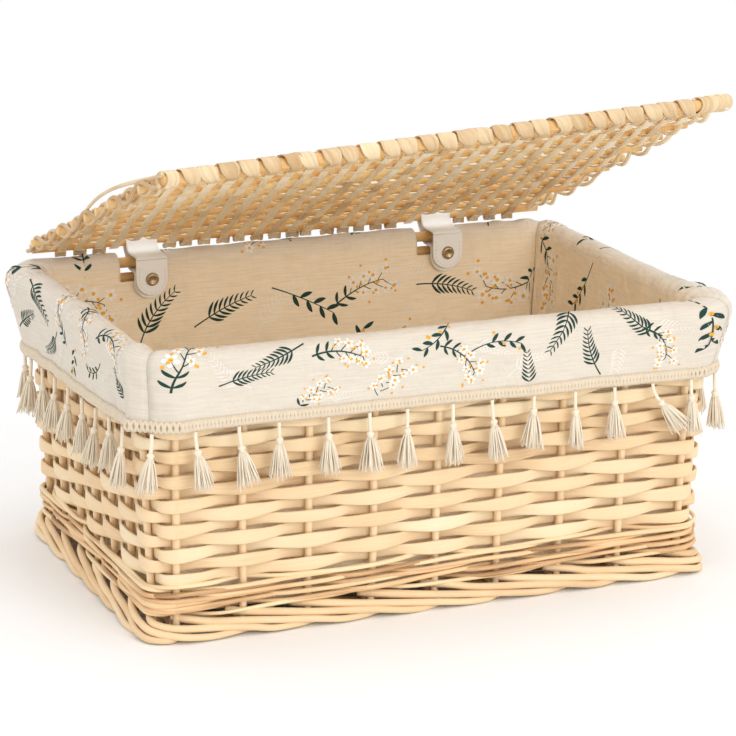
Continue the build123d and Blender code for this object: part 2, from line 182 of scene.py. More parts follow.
def frames(path, hint, closed=False):
    """Two directions across a path: one nearest the hint, one square to it and to the path."""
    along = np.roll(path, -1, 0) - np.roll(path, 1, 0) if closed else np.gradient(path, axis=0)
    along = unit(along)
    hint = np.broadcast_to(np.asarray(hint, float), path.shape)
    first = unit(hint - along * (hint * along).sum(1, keepdims=True))
    return first, np.cross(along, first)


def rod(pile, path, hint, section, scale=1.0, closed=False, tint=0.5):
    """A sweep whose section keeps its first direction as near the hint as its path allows."""
    first, second = frames(path, hint, closed)
    sweep(pile, path, first, second, section, scale, closed, tint)


level_path = np.array([[0.0, 0.0, 0.0], [1.0, 0.0, 0.0]])
print("Across a level path the first direction is", frames(level_path, UP)[0][0])


# %% Smooth curves, noise and humps
def spline(points, count):
    """A smooth curve through points: uniform Catmull-Rom, with its ends mirrored."""
    points = np.asarray(points, float)
    padded = np.concatenate([2 * points[:1] - points[1:2], points, 2 * points[-1:] - points[-2:-1]])
    t = np.linspace(0, len(points) - 1, count)
    i = np.minimum(t.astype(int), len(points) - 2)
    f = (t - i)[:, None]
    a, b, c, d = padded[i], padded[i + 1], padded[i + 2], padded[i + 3]
    bend, turn = 2 * a - 5 * b + 4 * c - d, 3 * b - a - 3 * c + d
    return 0.5 * (2 * b + (c - a) * f + bend * f**2 + turn * f**3)


def waver(t, period, count=5, lowest=1):
    """Smooth noise about 1 high that repeats after the period: sines of random height and phase."""
    total = np.zeros_like(np.asarray(t, float))
    for k in range(lowest, lowest + count):
        total += rng.normal(0, 1) * np.sin(2 * np.pi * k * t / period + rng.uniform(0, 6.28))
    return total / np.sqrt(count)


def hump(distance, width):
    """A bell curve: e to the minus square of distance over width."""
    return np.exp(-((distance / width) ** 2))


print("A hump one width from its middle is", round(float(hump(1.0, 1.0)), 2), "high")

# %% [markdown]
# ## Finishes
# Peeled and split willow is pale, streaked along the grain and a little different from rod to rod.
# A wood texture in object space would run straight on through bends, so streaks follow the UV, which
# runs along and round each rod, and each rod takes its shade from its tint.


# %% Nodes and links
def material(name):
    """A new node material, its tree and its shader."""
    made = bpy.data.materials.new(name)
    made.use_nodes = True
    return made, made.node_tree, made.node_tree.nodes["Principled BSDF"]


def link(tree, source, output, target, socket):
    """A link from a node's output to another node's socket."""
    tree.links.new(source.outputs[output], target.inputs[socket])


def ramp(tree, stops):
    """A colour ramp through (place, colour) stops."""
    node = tree.nodes.new("ShaderNodeValToRGB")
    while len(node.color_ramp.elements) < len(stops):
        node.color_ramp.elements.new(0.5)
    for element, (place, color) in zip(node.color_ramp.elements, stops):
        element.position = place
        element.color = (*color, 1)
    return node


def noise(tree, vector, scale, detail=3.0, roughness=0.55):
    """A noise texture over a vector."""
    node = tree.nodes.new("ShaderNodeTexNoise")
    node.inputs["Scale"].default_value = scale
    node.inputs["Detail"].default_value = detail
    node.inputs["Roughness"].default_value = roughness
    tree.links.new(vector, node.inputs["Vector"])
    return node


print("Helpers made: material, link, ramp, noise")


# %% What a shade is worked out from
def stretched_uv(tree, along, across):
    """The piece's UV, in millimetres, multiplied by a factor each way."""
    place, stretch = tree.nodes.new("ShaderNodeTexCoord"), tree.nodes.new("ShaderNodeMapping")
    stretch.inputs["Scale"].default_value = (along, across, 1)
    link(tree, place, "UV", stretch, "Vector")
    return stretch.outputs["Vector"]


def tinted(tree):
    """The tint that each point of a piece carries."""
    node = tree.nodes.new("ShaderNodeAttribute")
    node.attribute_name = "tint"
    return node


def scaled_sum(tree, source, factor, base, output):
    """A noise times a factor, plus the output of another node."""
    node = tree.nodes.new("ShaderNodeMath")
    node.operation = "MULTIPLY_ADD"
    link(tree, source, "Fac", node, 0)
    node.inputs[1].default_value = factor
    link(tree, base, output, node, 2)
    return node


print("Helpers made: stretched_uv, tinted, scaled_sum")


# %% Bump and variation
def bumped(tree, shader, height, strength, distance, under=None):
    """The shader's normal tilted by the slope of a noise, on top of another bump where one is given."""
    node = tree.nodes.new("ShaderNodeBump")
    node.inputs["Strength"].default_value = strength
    node.inputs["Distance"].default_value = distance
    link(tree, height, "Fac", node, "Height")
    if under:
        link(tree, under, "Normal", node, "Normal")
    link(tree, node, "Normal", shader, "Normal")
    return node


def spread(tree, source, low, high):
    """The middle of a noise's range, from 0.3 to 0.7, stretched to run from low to high."""
    node = tree.nodes.new("ShaderNodeMapRange")
    for socket, value in (("From Min", 0.3), ("From Max", 0.7), ("To Min", low), ("To Max", high)):
        node.inputs[socket].default_value = value
    link(tree, source, "Fac", node, "Value")
    return node


def varied(tree, source, color, low, high):
    """A colour made darker and lighter by a noise: its value is multiplied by low to high."""
    node = tree.nodes.new("ShaderNodeHueSaturation")
    link(tree, spread(tree, source, low, high), "Result", node, "Value")
    link(tree, color, "Color", node, "Color")
    return node


print("Helpers made: bumped, spread, varied")


# %% Willow
def willow(name, dark, middle, light, rough=0.5, streak=0.45, blotch=0.35):
    """Willow: shade = tint + streaks along the rod + blotches, and the streaks are the bump."""
    made, tree, shader = material(name)
    grain = noise(tree, stretched_uv(tree, 0.035, 1.1), 1.0, 4)
    stain = noise(tree, stretched_uv(tree, 0.03, 0.05), 1.0, 2)
    total = scaled_sum(tree, grain, streak, tinted(tree), "Fac")
    total = scaled_sum(tree, stain, blotch, total, "Value")
    centred = tree.nodes.new("ShaderNodeMath")
    centred.operation = "SUBTRACT"
    link(tree, total, "Value", centred, 0)
    centred.inputs[1].default_value = (streak + blotch) / 2
    shade = ramp(tree, [(0.0, dark), (0.5, middle), (1.0, light)])
    link(tree, centred, "Value", shade, "Fac")
    link(tree, shade, "Color", shader, "Base Color")
    bumped(tree, shader, grain, 0.35, 0.0006)
    shader.inputs["Roughness"].default_value = rough
    shader.inputs["Specular IOR Level"].default_value = 0.35
    return made


PALE = willow("willow_pale", (0.54, 0.32, 0.14), (0.90, 0.66, 0.395), (0.95, 0.83, 0.58))
BROWN = willow("willow_brown", (0.37, 0.185, 0.073), (0.86, 0.565, 0.30), (0.94, 0.78, 0.49), streak=0.6)
HONEY = willow("willow_honey", (0.46, 0.21, 0.06), (0.84, 0.50, 0.19), (0.94, 0.75, 0.39), rough=0.42)
# The lid's willow is painted lighter than the wall's: painted light for the lid's underside, which lies in
# shade.
LID_WILLOW_PAINTED_LIGHT = willow("willow_tan", (0.52, 0.31, 0.13), (0.93, 0.76, 0.50), (0.96, 0.88, 0.70), streak=0.6)
print("Willows:", ", ".join(m.name for m in (PALE, BROWN, HONEY, LID_WILLOW_PAINTED_LIGHT)))

# %% [markdown]
# The lining is a washed cotton with uneven yarn, matt and a little crumpled. It is one cloth, but its colour
# is
# painted darker outside than in: the inside is painted lighter and warmer, as painted light and warm bounce
# inside the basket. Painted folds would not follow its shape, so large folds are in the surface and only
# thread and small crumples are bump.


# %% Cotton
def cotton(name, outside, inside, thread=1.5, crumple=0.0, sheen=0.15):
    """Cotton: the tint leads from the outer colour to the inner one (painted light and shade on one cloth),
    and uneven yarn varies it.

    Threads tilt the normal, and crumples tilt it further.
    """
    made, tree, shader = material(name)
    shade = ramp(tree, [(0.0, outside), (1.0, inside)])
    link(tree, tinted(tree), "Fac", shade, "Fac")
    yarn = noise(tree, stretched_uv(tree, 0.05, 0.9), 1.0, 3)
    link(tree, varied(tree, yarn, shade, 0.93, 1.07), "Color", shader, "Base Color")
    weave = noise(tree, stretched_uv(tree, thread, thread), 1.0, 2)
    soft = noise(tree, stretched_uv(tree, 0.06, 0.035), 1.0, 3, 0.5)
    threads = bumped(tree, shader, weave, 0.25, 0.0004)
    bumped(tree, shader, soft, crumple, 0.012, under=threads)
    shader.inputs["Roughness"].default_value = 0.92
    shader.inputs["Specular IOR Level"].default_value = 0.15
    shader.inputs["Sheen Weight"].default_value = sheen
    return made


# Outside and inside colours of one cloth: the lighter, warmer inside is painted light.
COTTON = cotton("cotton_print", (0.75, 0.675, 0.573), (0.96, 0.81, 0.60), crumple=0.35)
# The trim is one cotton: its second, darker colour is painted shade, worn by the braid so that it comes out
# no lighter than the self-shading tassels.
TRIM = cotton("cotton_trim", (0.92, 0.82, 0.66), (0.70, 0.58, 0.43), thread=3.0)
print("Cottons:", COTTON.name, "and", TRIM.name)

# %% [markdown]
# The straps are grained white leather with white thread, and the studs aged brass. A worn edge could be
# painted on, but these pieces are so small that one noise in object space is enough.


# %% Leather, thread and brass
def grained(name, dark, light, rough, scale, depth, metal=0.0):
    """Leather, thread or worn metal: one noise in object space picks shade, roughness and bump."""
    made, tree, shader = material(name)
    place = tree.nodes.new("ShaderNodeTexCoord")
    grain = noise(tree, place.outputs["Object"], scale, 4, 0.6)
    shade = ramp(tree, [(0.3, dark), (0.7, light)])
    link(tree, grain, "Fac", shade, "Fac")
    link(tree, shade, "Color", shader, "Base Color")
    link(tree, spread(tree, grain, rough + 0.12, rough - 0.12), "Result", shader, "Roughness")
    bumped(tree, shader, grain, 0.3, depth)
    shader.inputs["Metallic"].default_value = metal
    shader.inputs["Specular IOR Level"].default_value = 0.4
    return made


STRAP = grained("strap_white", (0.92, 0.895, 0.85), (0.97, 0.955, 0.92), 0.5, 1100, 0.0002)
THREAD = grained("strap_thread", (0.74, 0.72, 0.67), (0.86, 0.84, 0.79), 0.7, 3000, 0.0001)
BRASS = grained("stud_brass", (0.30, 0.225, 0.125), (0.53, 0.425, 0.265), 0.34, 520, 0.0001, metal=1.0)
print("Materials:", ", ".join(m.name for m in bpy.data.materials))

# %% [markdown]
# ## The woven wall
# The wall is a row of round stakes with flat strips woven round it, and a band of thin brown rods near
# its foot. A plain wall with a weave texture would be lighter, but its gaps, edges and shadows would be
# missing, so every rod is a sweep of its own.
# Places along the wall count stakes: whole numbers are stakes, and corner arcs lie between sides.

# %% The line of stakes
FIRST = np.concatenate([[0], np.cumsum(STAKES)[:-1]])
ALONG = np.array([[1, 0], [0, 1], [-1, 0], [0, -1]], float)
OUT = np.array([[0, -1], [1, 0], [0, 1], [-1, 0]], float)
HALF = np.array([CORNER_X, CORNER_Y, CORNER_X, CORNER_Y])
REACH = np.array([CORNER_Y, CORNER_X, CORNER_Y, CORNER_X])


def inset(z):
    """How far the leaning wall stands inside the rim: the lean times the share of height below it."""
    return WALL_LEAN * (RIM_HEIGHT - z) / (RIM_HEIGHT - BASE_HEIGHT)


def rounded(side, straight, turn, radius, z):
    """Point and outward normal of a rounded rectangle, on a side and past its end round the corner.

    along = straight + r sin(turn), out = reach + r cos(turn), with the turn from 0 to a right angle.
    """
    sine, cosine = np.sin(turn), np.cos(turn)
    along, out = straight + radius * sine, REACH[side] + radius * cosine
    flat = ALONG[side] * along[..., None] + OUT[side] * out[..., None]
    normal = ALONG[side] * sine[..., None] + OUT[side] * cosine[..., None]
    height, level = np.broadcast_to(z, along.shape)[..., None], np.zeros_like(along)[..., None]
    return np.concatenate([flat, height], -1), np.concatenate([normal, level], -1)


def ring(u, z):
    """Stake centre line at ring place u and height z, with its outward normal.

    On a side the place runs evenly from first to last stake. Past the last one it turns round the corner.
    """
    u, z = np.broadcast_arrays(np.mod(np.asarray(u, float), RING), np.asarray(z, float))
    side = np.searchsorted(FIRST, u, "right") - 1
    k = u - FIRST[side]
    last = STAKES[side] - 1
    turn = np.clip(k - last, 0, 1) * np.pi / 2
    straight = HALF[side] * (2 * np.minimum(k / last, 1) - 1)
    return rounded(side, straight, turn, CORNER - inset(z), z)


print("Ring of", RING, "stakes")

# %% Stakes
STAKE_LOW, STAKE_HIGH, STAKE_RADIUS = 3, 163.3, 2.35
for number, side in enumerate(SIDES):
    stakes = Pile()
    for i in range(STAKES[number]):
        z = np.linspace(STAKE_LOW, STAKE_HIGH, 26)
        path, normal = ring(np.full(26, FIRST[number] + i), z)
        tangent = np.broadcast_to(np.append(ALONG[number], 0), path.shape)
        path = path + tangent * waver(z, 330, 3)[:, None] * 0.5
        size = 1 + 0.05 * waver(z, 300, 4)
        shade = rng.normal(0.55, 0.07)
        sweep(stakes, path, normal, tangent, round_bar(STAKE_RADIUS), size, tint=shade)
    make(f"wall_stakes_{side}", stakes, PALE, nodes=[f"stakes_{side}"])

# %% [markdown]
# A flat weaver passes outside one stake and inside the next: its distance from the stake line is a cosine
# of the ring place. Split willow is tallest where it bends round a stake.

# %% Flat weavers
WEAVER_BANDS, BAND_ROWS, WEAVER_FIRST, WEAVER_PITCH = 4, 4, 35.6, 7.8
WEAVER_SWING, WEAVER_SECTION = 3.75, superellipse(1.05, 4.0, 14, 3.2)
u = np.arange(RING * 14) / 14
for band in range(WEAVER_BANDS):
    weavers = Pile()
    rows = range(band * BAND_ROWS, (band + 1) * BAND_ROWS)
    for row in rows:
        wave = np.cos(np.pi * (u + row))
        middle = WEAVER_FIRST + WEAVER_PITCH * row + 3.6 + 0.45 * waver(u, RING, 12, 3)
        path, normal = ring(u, middle)
        path = path + normal * (WEAVER_SWING * np.sign(wave) * np.abs(wave) ** 0.8)[:, None]
        lean = 0.10 * waver(u, RING, 8, 4)[:, None]
        first, second = unit(normal + UP * lean), unit(UP - normal * lean)
        tall = (0.88 + 0.27 * wave**2) * (1 + 0.07 * waver(u, RING, 16, 5))
        scale = np.stack([np.ones_like(u), tall], 1)
        shade = rng.normal(0.55, 0.06) + 0.07 * waver(u, RING, 10, 2)
        sweep(weavers, path, first, second, WEAVER_SECTION, scale, closed=True, tint=shade)
    nodes = [f"weaver_row_{row + 1:02d}" for row in rows]
    make(f"wall_weave_{band + 1}", weavers, PALE, nodes=nodes)

# %% [markdown]
# Waling is a set of thin rods that each pass in front of two stakes and behind one. The dip behind a stake
# is a bell curve round its place, and between dips a rod climbs a little over its neighbours.

# %% Waling
WALE_GROUPS, WALE_RODS, WALE_FIRST, WALE_PITCH = 3, 3, 16.0, 2.25
WALE_OUT, WALE_DIP = 4.4, 8.4
u = np.arange(RING * 12) / 12
for group in range(WALE_GROUPS):
    wales = Pile()
    for number in range(WALE_RODS):
        level = WALE_RODS * group + number
        inside = np.arange((number + group) % 3, RING - 2, 3, dtype=float)
        laps = np.concatenate([inside - RING, inside, inside + RING])
        after = laps[np.searchsorted(laps, u, "right")]
        before = laps[np.searchsorted(laps, u, "right") - 1]
        dip = hump(np.minimum(u - before, after - u), 0.42)
        climb = 2 * (u - before) / (after - before) - 1
        z = WALE_FIRST + WALE_PITCH * level + 1.5 * climb * (1 - dip) + 0.55 * waver(u, RING, 14, 4)
        path, normal = ring(u, z)
        out = WALE_OUT + 0.5 * (level % 2) - WALE_DIP * dip + 0.4 * waver(u, RING, 12, 5)
        path = path + normal * out[:, None]
        size = 1 + 0.13 * waver(u, RING, 10, 4)
        shade = rng.normal(0.52, 0.16) + 0.14 * waver(u, RING, 14, 3)
        rod(wales, path, normal, superellipse(1.55, 1.5, 8, 2), size, closed=True, tint=shade)
    make(f"wall_waling_{group + 1}", wales, BROWN, nodes=[f"wale_pair_{group + 1}"])

# %% [markdown]
# ## The foot and the base
# The border is a rolled edge: one rod starts behind each stake, slopes out and down past the next two, and
# is tucked in under the third. Ten points for one rod, repeated at each stake with a little jitter, give
# the plait without having to draw it. The base is a mat of flat bands over and under round sticks. The lining
# hides most of it, so it is kept plain.

# %% Foot border
FOOT_RADIUS = 2.5
foot_line = np.array(  # stakes passed, distance outside the stake line, height
    [
        [-0.2, -2.0, 14.2],
        [0.15, 3.4, 12.9],
        [0.5, 6.2, 11.2],
        [1.0, 8.0, 9.2],
        [1.5, 9.2, 7.2],
        [2.0, 10.2, 5.0],
        [2.45, 10.8, 2.9],
        [2.75, 9.0, 2.6],
        [3.0, 5.2, 2.5],
        [3.2, 3.0, 2.5],
    ]
)
foot = Pile()
for i in range(RING):
    jitter = rng.normal(0, 1, (len(foot_line), 3)) * [0.04, 0.3, 0.3]
    place, out, height = (foot_line + jitter).T
    path, normal = ring(place + i, np.full(len(place), BASE_HEIGHT))
    path = path + normal * out[:, None]
    path[:, 2] = height
    path = spline(path, 60)
    size = np.linspace(1.06, 0.78, 60) * (1 + 0.03 * waver(np.linspace(0, 1, 60), 2, 3))
    path[:, 2] = np.maximum(path[:, 2], FOOT_RADIUS * size)
    rod(foot, path, UP, round_bar(FOOT_RADIUS), size, tint=rng.normal(0.5, 0.10))
make("foot_rods", foot, PALE, nodes=["foot_border"])

# %% Base mat
BASE_BANDS, BASE_PITCH, STICK_PITCH = 22, 9.8, 42.75
base = Pile()
for x in np.linspace(-CORNER_X, CORNER_X, STAKES[0]):
    path = np.stack([np.full(20, x), np.linspace(-115.5, 115.5, 20), np.full(20, BASE_HEIGHT)], 1)
    rod(base, path, UP, round_bar(2.5), tint=rng.normal(0.45, 0.08))
for band in range(BASE_BANDS):
    x = np.linspace(-177, 177, 140)
    z = BASE_HEIGHT + 3.3 * np.cos(np.pi * (x + CORNER_X) / STICK_PITCH + np.pi * band)
    y = np.full_like(x, (band - (BASE_BANDS - 1) / 2) * BASE_PITCH) + 0.4 * waver(x, 700, 5)
    rod(base, np.stack([x, y, z], 1), UP, superellipse(0.7, 4.5, 10, 3), tint=rng.normal(0.42, 0.07))
make("base_mat", base, PALE, nodes=["base_sticks", "base_weave"])

# %% [markdown]
# ## The lining
# One strip of cotton runs up inside the wall, over the rim hoops and down outside as a cuff.
# Its profile is the CAD's: a leaning line, an arc through three points, and a line to the hem.
# It is pulled tight over the rim, so a cloth simulation would add little. Soft folds push it along its own
# normal instead, and the print can then follow the very same surface.


# %% Rim line and hoops
def rim(s, at=0.0):
    """Rim line at arc length s, measured on the line that lies `at` outside it, and its outward normal."""
    arc = (CORNER + at) * np.pi / 2
    legs = np.array([2 * CORNER_X, 2 * CORNER_Y, 2 * CORNER_X, 2 * CORNER_Y])
    starts = np.concatenate([[0], np.cumsum(legs + arc)])
    s = np.mod(np.asarray(s, float), starts[-1])
    side = np.clip(np.searchsorted(starts, s, "right") - 1, 0, 3)
    k = s - starts[side]
    turn = np.clip((k - legs[side]) / arc, 0, 1) * np.pi / 2
    return rounded(side, np.minimum(k, legs[side]) - HALF[side], turn, CORNER, 0.0)


RIM_ROUND = 2 * (2 * CORNER_X + 2 * CORNER_Y) + 2 * np.pi * CORNER
HOOP_RADIUS, HOOP_SPACING = 3.6, 10.4
hoops = Pile()
s = np.linspace(0, RIM_ROUND, 260, endpoint=False)
for z in (RIM_HEIGHT, RIM_HEIGHT - HOOP_SPACING):
    path, normal = rim(s)
    path = path + UP * z
    upward = np.broadcast_to(UP, path.shape)
    size = 1 + 0.02 * waver(s, RIM_ROUND, 8)
    sweep(hoops, path, normal, upward, round_bar(HOOP_RADIUS, 12), size, closed=True, tint=0.55)
make("rim_hoops", hoops, HONEY, nodes=["rim_upper_hoop", "rim_lower_hoop"])


# %% Profile of the lining: distance outside the rim line, and height
def circle_through(a, b, c):
    """Centre and radius of the circle through three points: equal distances give two linear equations."""
    a, b, c = (np.array(p, float) for p in (a, b, c))
    m = np.array([b - a, c - a])
    centre = np.linalg.solve(2 * m, (m * (m + 2 * a)).sum(1))
    return centre, np.linalg.norm(a - centre)


FLOOR, FOLD, FOLD_TOP, FLARE, HEM = (-14.9, 13.4), (-8.1, 174.0), (0.7, 182.9), (9.5, 172.0), (6.6, 131.5)
centre, radius = circle_through(FOLD, FOLD_TOP, FLARE)
from_angle = np.arctan2(FOLD[1] - centre[1], FOLD[0] - centre[0])
to_angle = np.arctan2(FLARE[1] - centre[1], FLARE[0] - centre[0])
angles = np.linspace(from_angle, to_angle, 40)
arc = np.stack([centre[0] + radius * np.cos(angles), centre[1] + radius * np.sin(angles)], 1)
profile = np.concatenate([np.linspace(FLOOR, FOLD, 60)[:-1], arc, np.linspace(FLARE, HEM, 30)[1:]])
steps = np.linalg.norm(np.diff(profile, axis=0), axis=1)
PROFILE_V = np.concatenate([[0], np.cumsum(steps)])
PROFILE_T = unit(np.gradient(profile, PROFILE_V, axis=0))
WALL_V = float(np.hypot(FOLD[0] - FLOOR[0], FOLD[1] - FLOOR[1]))
CUFF_V = WALL_V + float(radius * abs(to_angle - from_angle))
CLOTH_V = float(PROFILE_V[-1])
print(f"Lining profile {CLOTH_V:.1f} mm: wall {WALL_V:.1f}, fold {CUFF_V - WALL_V:.1f}")

# %% Where the hem sags and where the folds lie
sag_s = np.array([0, 180, 356, 480, 600, 800, 985, 1110]) % RIM_ROUND
sag_z = np.array([5.0, 4.0, 3.0, 1.0, -1.0, -3.0, -5.0, -1.0])


def hem_shift(s):
    """Height of the hem over the CAD's: up at the front, down at the back left, a mean of three places."""
    s = np.mod(s, RIM_ROUND)
    where = np.concatenate([sag_s - RIM_ROUND, sag_s, sag_s + RIM_ROUND])
    what = np.tile(sag_z, 3)
    return (np.interp(s - 30, where, what) + np.interp(s, where, what) + np.interp(s + 30, where, what)) / 3


fold_rng = np.random.default_rng(5)


def random_waves(count, fewest, most, slope):
    """Waves drawn at random: number round the rim, slope up the cloth, phase and height of each."""
    waves = []
    for _ in range(count):
        number, tilt = fold_rng.integers(fewest, most), fold_rng.normal(0, slope)
        waves.append((number, tilt, fold_rng.uniform(0, 6.28), fold_rng.normal(0, 1)))
    return waves


FOLDS, BILLOWS = random_waves(16, 6, 40, 0.012), random_waves(14, 3, 14, 0.02)
# Corner seams lie in the middle of each corner's arc.
CORNERS = np.array([2 * CORNER_X, 2 * CORNER_X + 2 * CORNER_Y, 4 * CORNER_X + 2 * CORNER_Y, RIM_ROUND])
CORNERS = CORNERS + np.array([14.1, 42.4, 70.7, -14.1])
BULGES = ((CORNERS[0], 7.5), (CORNERS[2], 10.0), (CORNERS[3], -1.0))
TUCKS = ((-44, 7, 2.2), (-27, 5, 2.8), (-12, 6, 1.8), (16, 6, 2.4), (31, 8, 1.8))
PLEATS = []
for corner in CORNERS:
    for _ in range(9):
        place, slant = corner + fold_rng.normal(0, 16), fold_rng.uniform(-0.25, 0.25)
        PLEATS.append((place, slant, fold_rng.uniform(1.8, 4.5), fold_rng.normal(0.3, 0.9)))
print(len(FOLDS), "folds,", len(BILLOWS), "billows and", len(PLEATS), "pleats")


# %% How far folds push the cloth
def away_from(s, place):
    """Distance along the rim from a place, the short way round, negative before it."""
    return np.mod(s - place + RIM_ROUND / 2, RIM_ROUND) - RIM_ROUND / 2


def plane_waves(waves, s, v):
    """Sum of sines that run round the rim and slope up the cloth, over the root of their number."""
    total = 0
    for count, slope, phase, height in waves:
        total = total + height * np.sin(2 * np.pi * count * s / RIM_ROUND + slope * v + phase)
    return total / np.sqrt(len(waves))


def cloth_push(s, v):
    """How far the cloth stands off its profile, in mm: billows inside, folds on the cuff, corner tucks."""
    inside = np.clip(v / 40, 0, 1) * np.clip((CUFF_V - 24 - v) / 50, 0, 1)
    hanging = np.clip((v - CUFF_V + 8) / (CLOTH_V - CUFF_V), 0, 1)
    push = inside * (1.2 + 1.9 * plane_waves(BILLOWS, s, v))
    push = push + (0.4 + 0.7 * hanging) * plane_waves(FOLDS, s, v)
    for corner in CORNERS:
        away = away_from(s, corner)
        push = push - 0.7 * hump(away, 1.8) + 0.9 * hump(away - 8, 5) * (0.3 + 0.7 * inside)
        push = push + 0.8 * hump(away + 10, 4) * hanging
    for place, slant, width, height in PLEATS:
        push = push + height * hump(away_from(s, place + slant * (v - WALL_V)), width)
    for offset, width, height in TUCKS:
        place = CORNERS[1] + offset + 0.06 * (WALL_V - v)
        push = push + height * hump(away_from(s, place), width) * inside
    full = hump(v - (WALL_V + CUFF_V) / 2, 13)
    back = np.clip((s - CORNERS[1] - 25) / 25, 0, 1) * np.clip((CORNERS[2] - 25 - s) / 25, 0, 1)
    return np.clip(push, -1.4, 6.0) + 0.8 * full * back


print("Push at the middle of the front cuff", round(float(cloth_push(CORNER_X, CLOTH_V - 20)), 2), "mm")


# %% The lining as a surface of rim length and profile length
def cloth(s, v, lift=0.0):
    """Point of the lining at length s round the rim and v up its profile, lifted off its visible face."""
    s, v = np.broadcast_arrays(np.asarray(s, float), np.asarray(v, float))
    point, normal = rim(s)
    n, z = (np.interp(v, PROFILE_V, profile[:, k]) for k in range(2))
    tn, tz = (np.interp(v, PROFILE_V, PROFILE_T[:, k]) for k in range(2))
    drop = np.clip((v - CUFF_V) / (CLOTH_V - CUFF_V), 0, 1)
    z = z + hem_shift(s) * drop
    rise = np.clip((n + 2) / 8, 0, 1) * (1 - 0.9 * drop)
    for corner, reach in BULGES:
        n = n + reach * hump(away_from(s, corner), 38) * rise
    off = cloth_push(s, v) + lift
    n, z = n - tz * off, z + tn * off
    return point + normal * n[..., None] + UP * z[..., None]


def painted_inside_light(v):
    """Share of the painted inside light: 0 on the cuff, 1 down inside, with a soft change near the fold."""
    return np.clip((CUFF_V - 18 - v) / 14, 0, 1)


print("Highest point of the front fold", round(float(cloth(100.0, (WALL_V + CUFF_V) / 2)[2]), 1), "mm")


# %% A sheet with two faces
CLOTH = 0.45  # half of the cloth's thickness


def shell(pile, visible, hidden, keep, tint, uv):
    """A sheet with two faces and closed edges, from two matching grids of points and a mask of kept cells."""
    rows, columns = visible.shape[:2]
    index = np.arange(rows * columns).reshape(rows, columns)
    cells = np.stack([index[:-1, :-1], index[:-1, 1:], index[1:, 1:], index[1:, :-1]], -1)
    shift = rows * columns
    faces = [cells[keep], cells[keep][:, ::-1] + shift]
    padded_keep = np.pad(keep, 1)
    for dr, dc, a, b in ((-1, 0, 0, 1), (0, 1, 1, 2), (1, 0, 2, 3), (0, -1, 3, 0)):
        neighbour = padded_keep[1 + dr : rows + dr, 1 + dc : columns + dc]
        edge = cells[keep & ~neighbour]
        faces.append(np.stack([edge[:, b], edge[:, a], edge[:, a] + shift, edge[:, b] + shift], 1))
    points = np.concatenate([visible.reshape(-1, 3), hidden.reshape(-1, 3)])
    smooth = np.repeat([True, True, False, False, False, False], [len(f) for f in faces])
    faces = np.concatenate(faces)
    normal = np.cross(visible[1:, 1:] - visible[:-1, :-1], visible[1:, :-1] - visible[:-1, 1:])
    if (normal * (visible - hidden)[1:, 1:]).sum() < 0:
        faces = faces[:, ::-1]
    used, faces = np.unique(faces, return_inverse=True)
    tints = np.tile(np.asarray(tint, float).ravel(), 2)
    uvs = np.tile(np.asarray(uv, float).reshape(-1, 2), (2, 1))
    pile.add(points[used], faces.reshape(-1, 4), tints[used], uvs[used], smooth)


def area_of(points, keep):
    """Area of a grid of points, in square millimetres: half the cross product of each cell's diagonals."""
    d1 = points[1:, 1:] - points[:-1, :-1]
    d2 = points[1:, :-1] - points[:-1, 1:]
    return float((np.linalg.norm(np.cross(d1, d2), axis=-1)[keep] / 2).sum())


print("Cloth", 2 * CLOTH, "mm thick")

# %% Lining panels
STRAP_X = np.array([-108.0, 108.0])
NOTCH_LEFT, NOTCH_RIGHT, NOTCH_BOTTOM = 20, 12.5, 166.5
back_start = 2 * CORNER_X + 2 * CORNER_Y + CORNER * np.pi
SPANS = {  # from seam to seam, with a tenth of a millimetre between panels
    "front": (-14.1, 2 * CORNER_X + 14.1),
    "right": (2 * CORNER_X + 14.2, 2 * CORNER_X + 2 * CORNER_Y + 42.3),
    "back": (back_start - 14.1, back_start + 2 * CORNER_X + 14.1),
    "left": (back_start + 2 * CORNER_X + 14.2, RIM_ROUND - 14.2),
}
NOTCH_LOW = float(np.interp(NOTCH_BOTTOM, profile[:60, 1], PROFILE_V[:60]))
NOTCH_HIGH = CUFF_V + (FLARE[1] - NOTCH_BOTTOM)
notches = [(back_start + CORNER_X - x - NOTCH_RIGHT, back_start + CORNER_X - x + NOTCH_LEFT) for x in STRAP_X]
panels = {}
for side in SIDES:
    low, high = SPANS[side]
    s = np.linspace(low, high, int((high - low) / 3.6))
    v = np.linspace(0, CLOTH_V, 80)
    if side == "back":
        s = np.unique(np.concatenate([s, *notches]))
        v = np.unique(np.concatenate([v, [NOTCH_LOW, NOTCH_HIGH]]))
    grid_v, grid_s = np.meshgrid(v, s, indexing="ij")
    keep = np.ones((len(v) - 1, len(s) - 1), bool)
    if side == "back":
        middle_s, middle_v = (s[1:] + s[:-1]) / 2, (v[1:] + v[:-1]) / 2
        for a, b in notches:
            across, up = (middle_s > a) & (middle_s < b), (middle_v > NOTCH_LOW) & (middle_v < NOTCH_HIGH)
            keep &= ~(across[None, :] & up[:, None])
    visible, hidden = cloth(grid_s, grid_v, CLOTH), cloth(grid_s, grid_v, -CLOTH)
    lining = Pile()
    shell(lining, visible, hidden, keep, painted_inside_light(grid_v), np.stack([grid_s, grid_v], -1))
    panel = make(f"lining_panel_{side}", lining, COTTON, nodes=[f"lining_{side}"])
    cut_area = area_of(visible, keep) * 1e-6
    cut_length = CLOTH_V * 0.001
    panels[side] = (panel, cut_area, cut_length)
    print(f"  cut {cut_area / cut_length:.3f} by {cut_length:.3f} m")

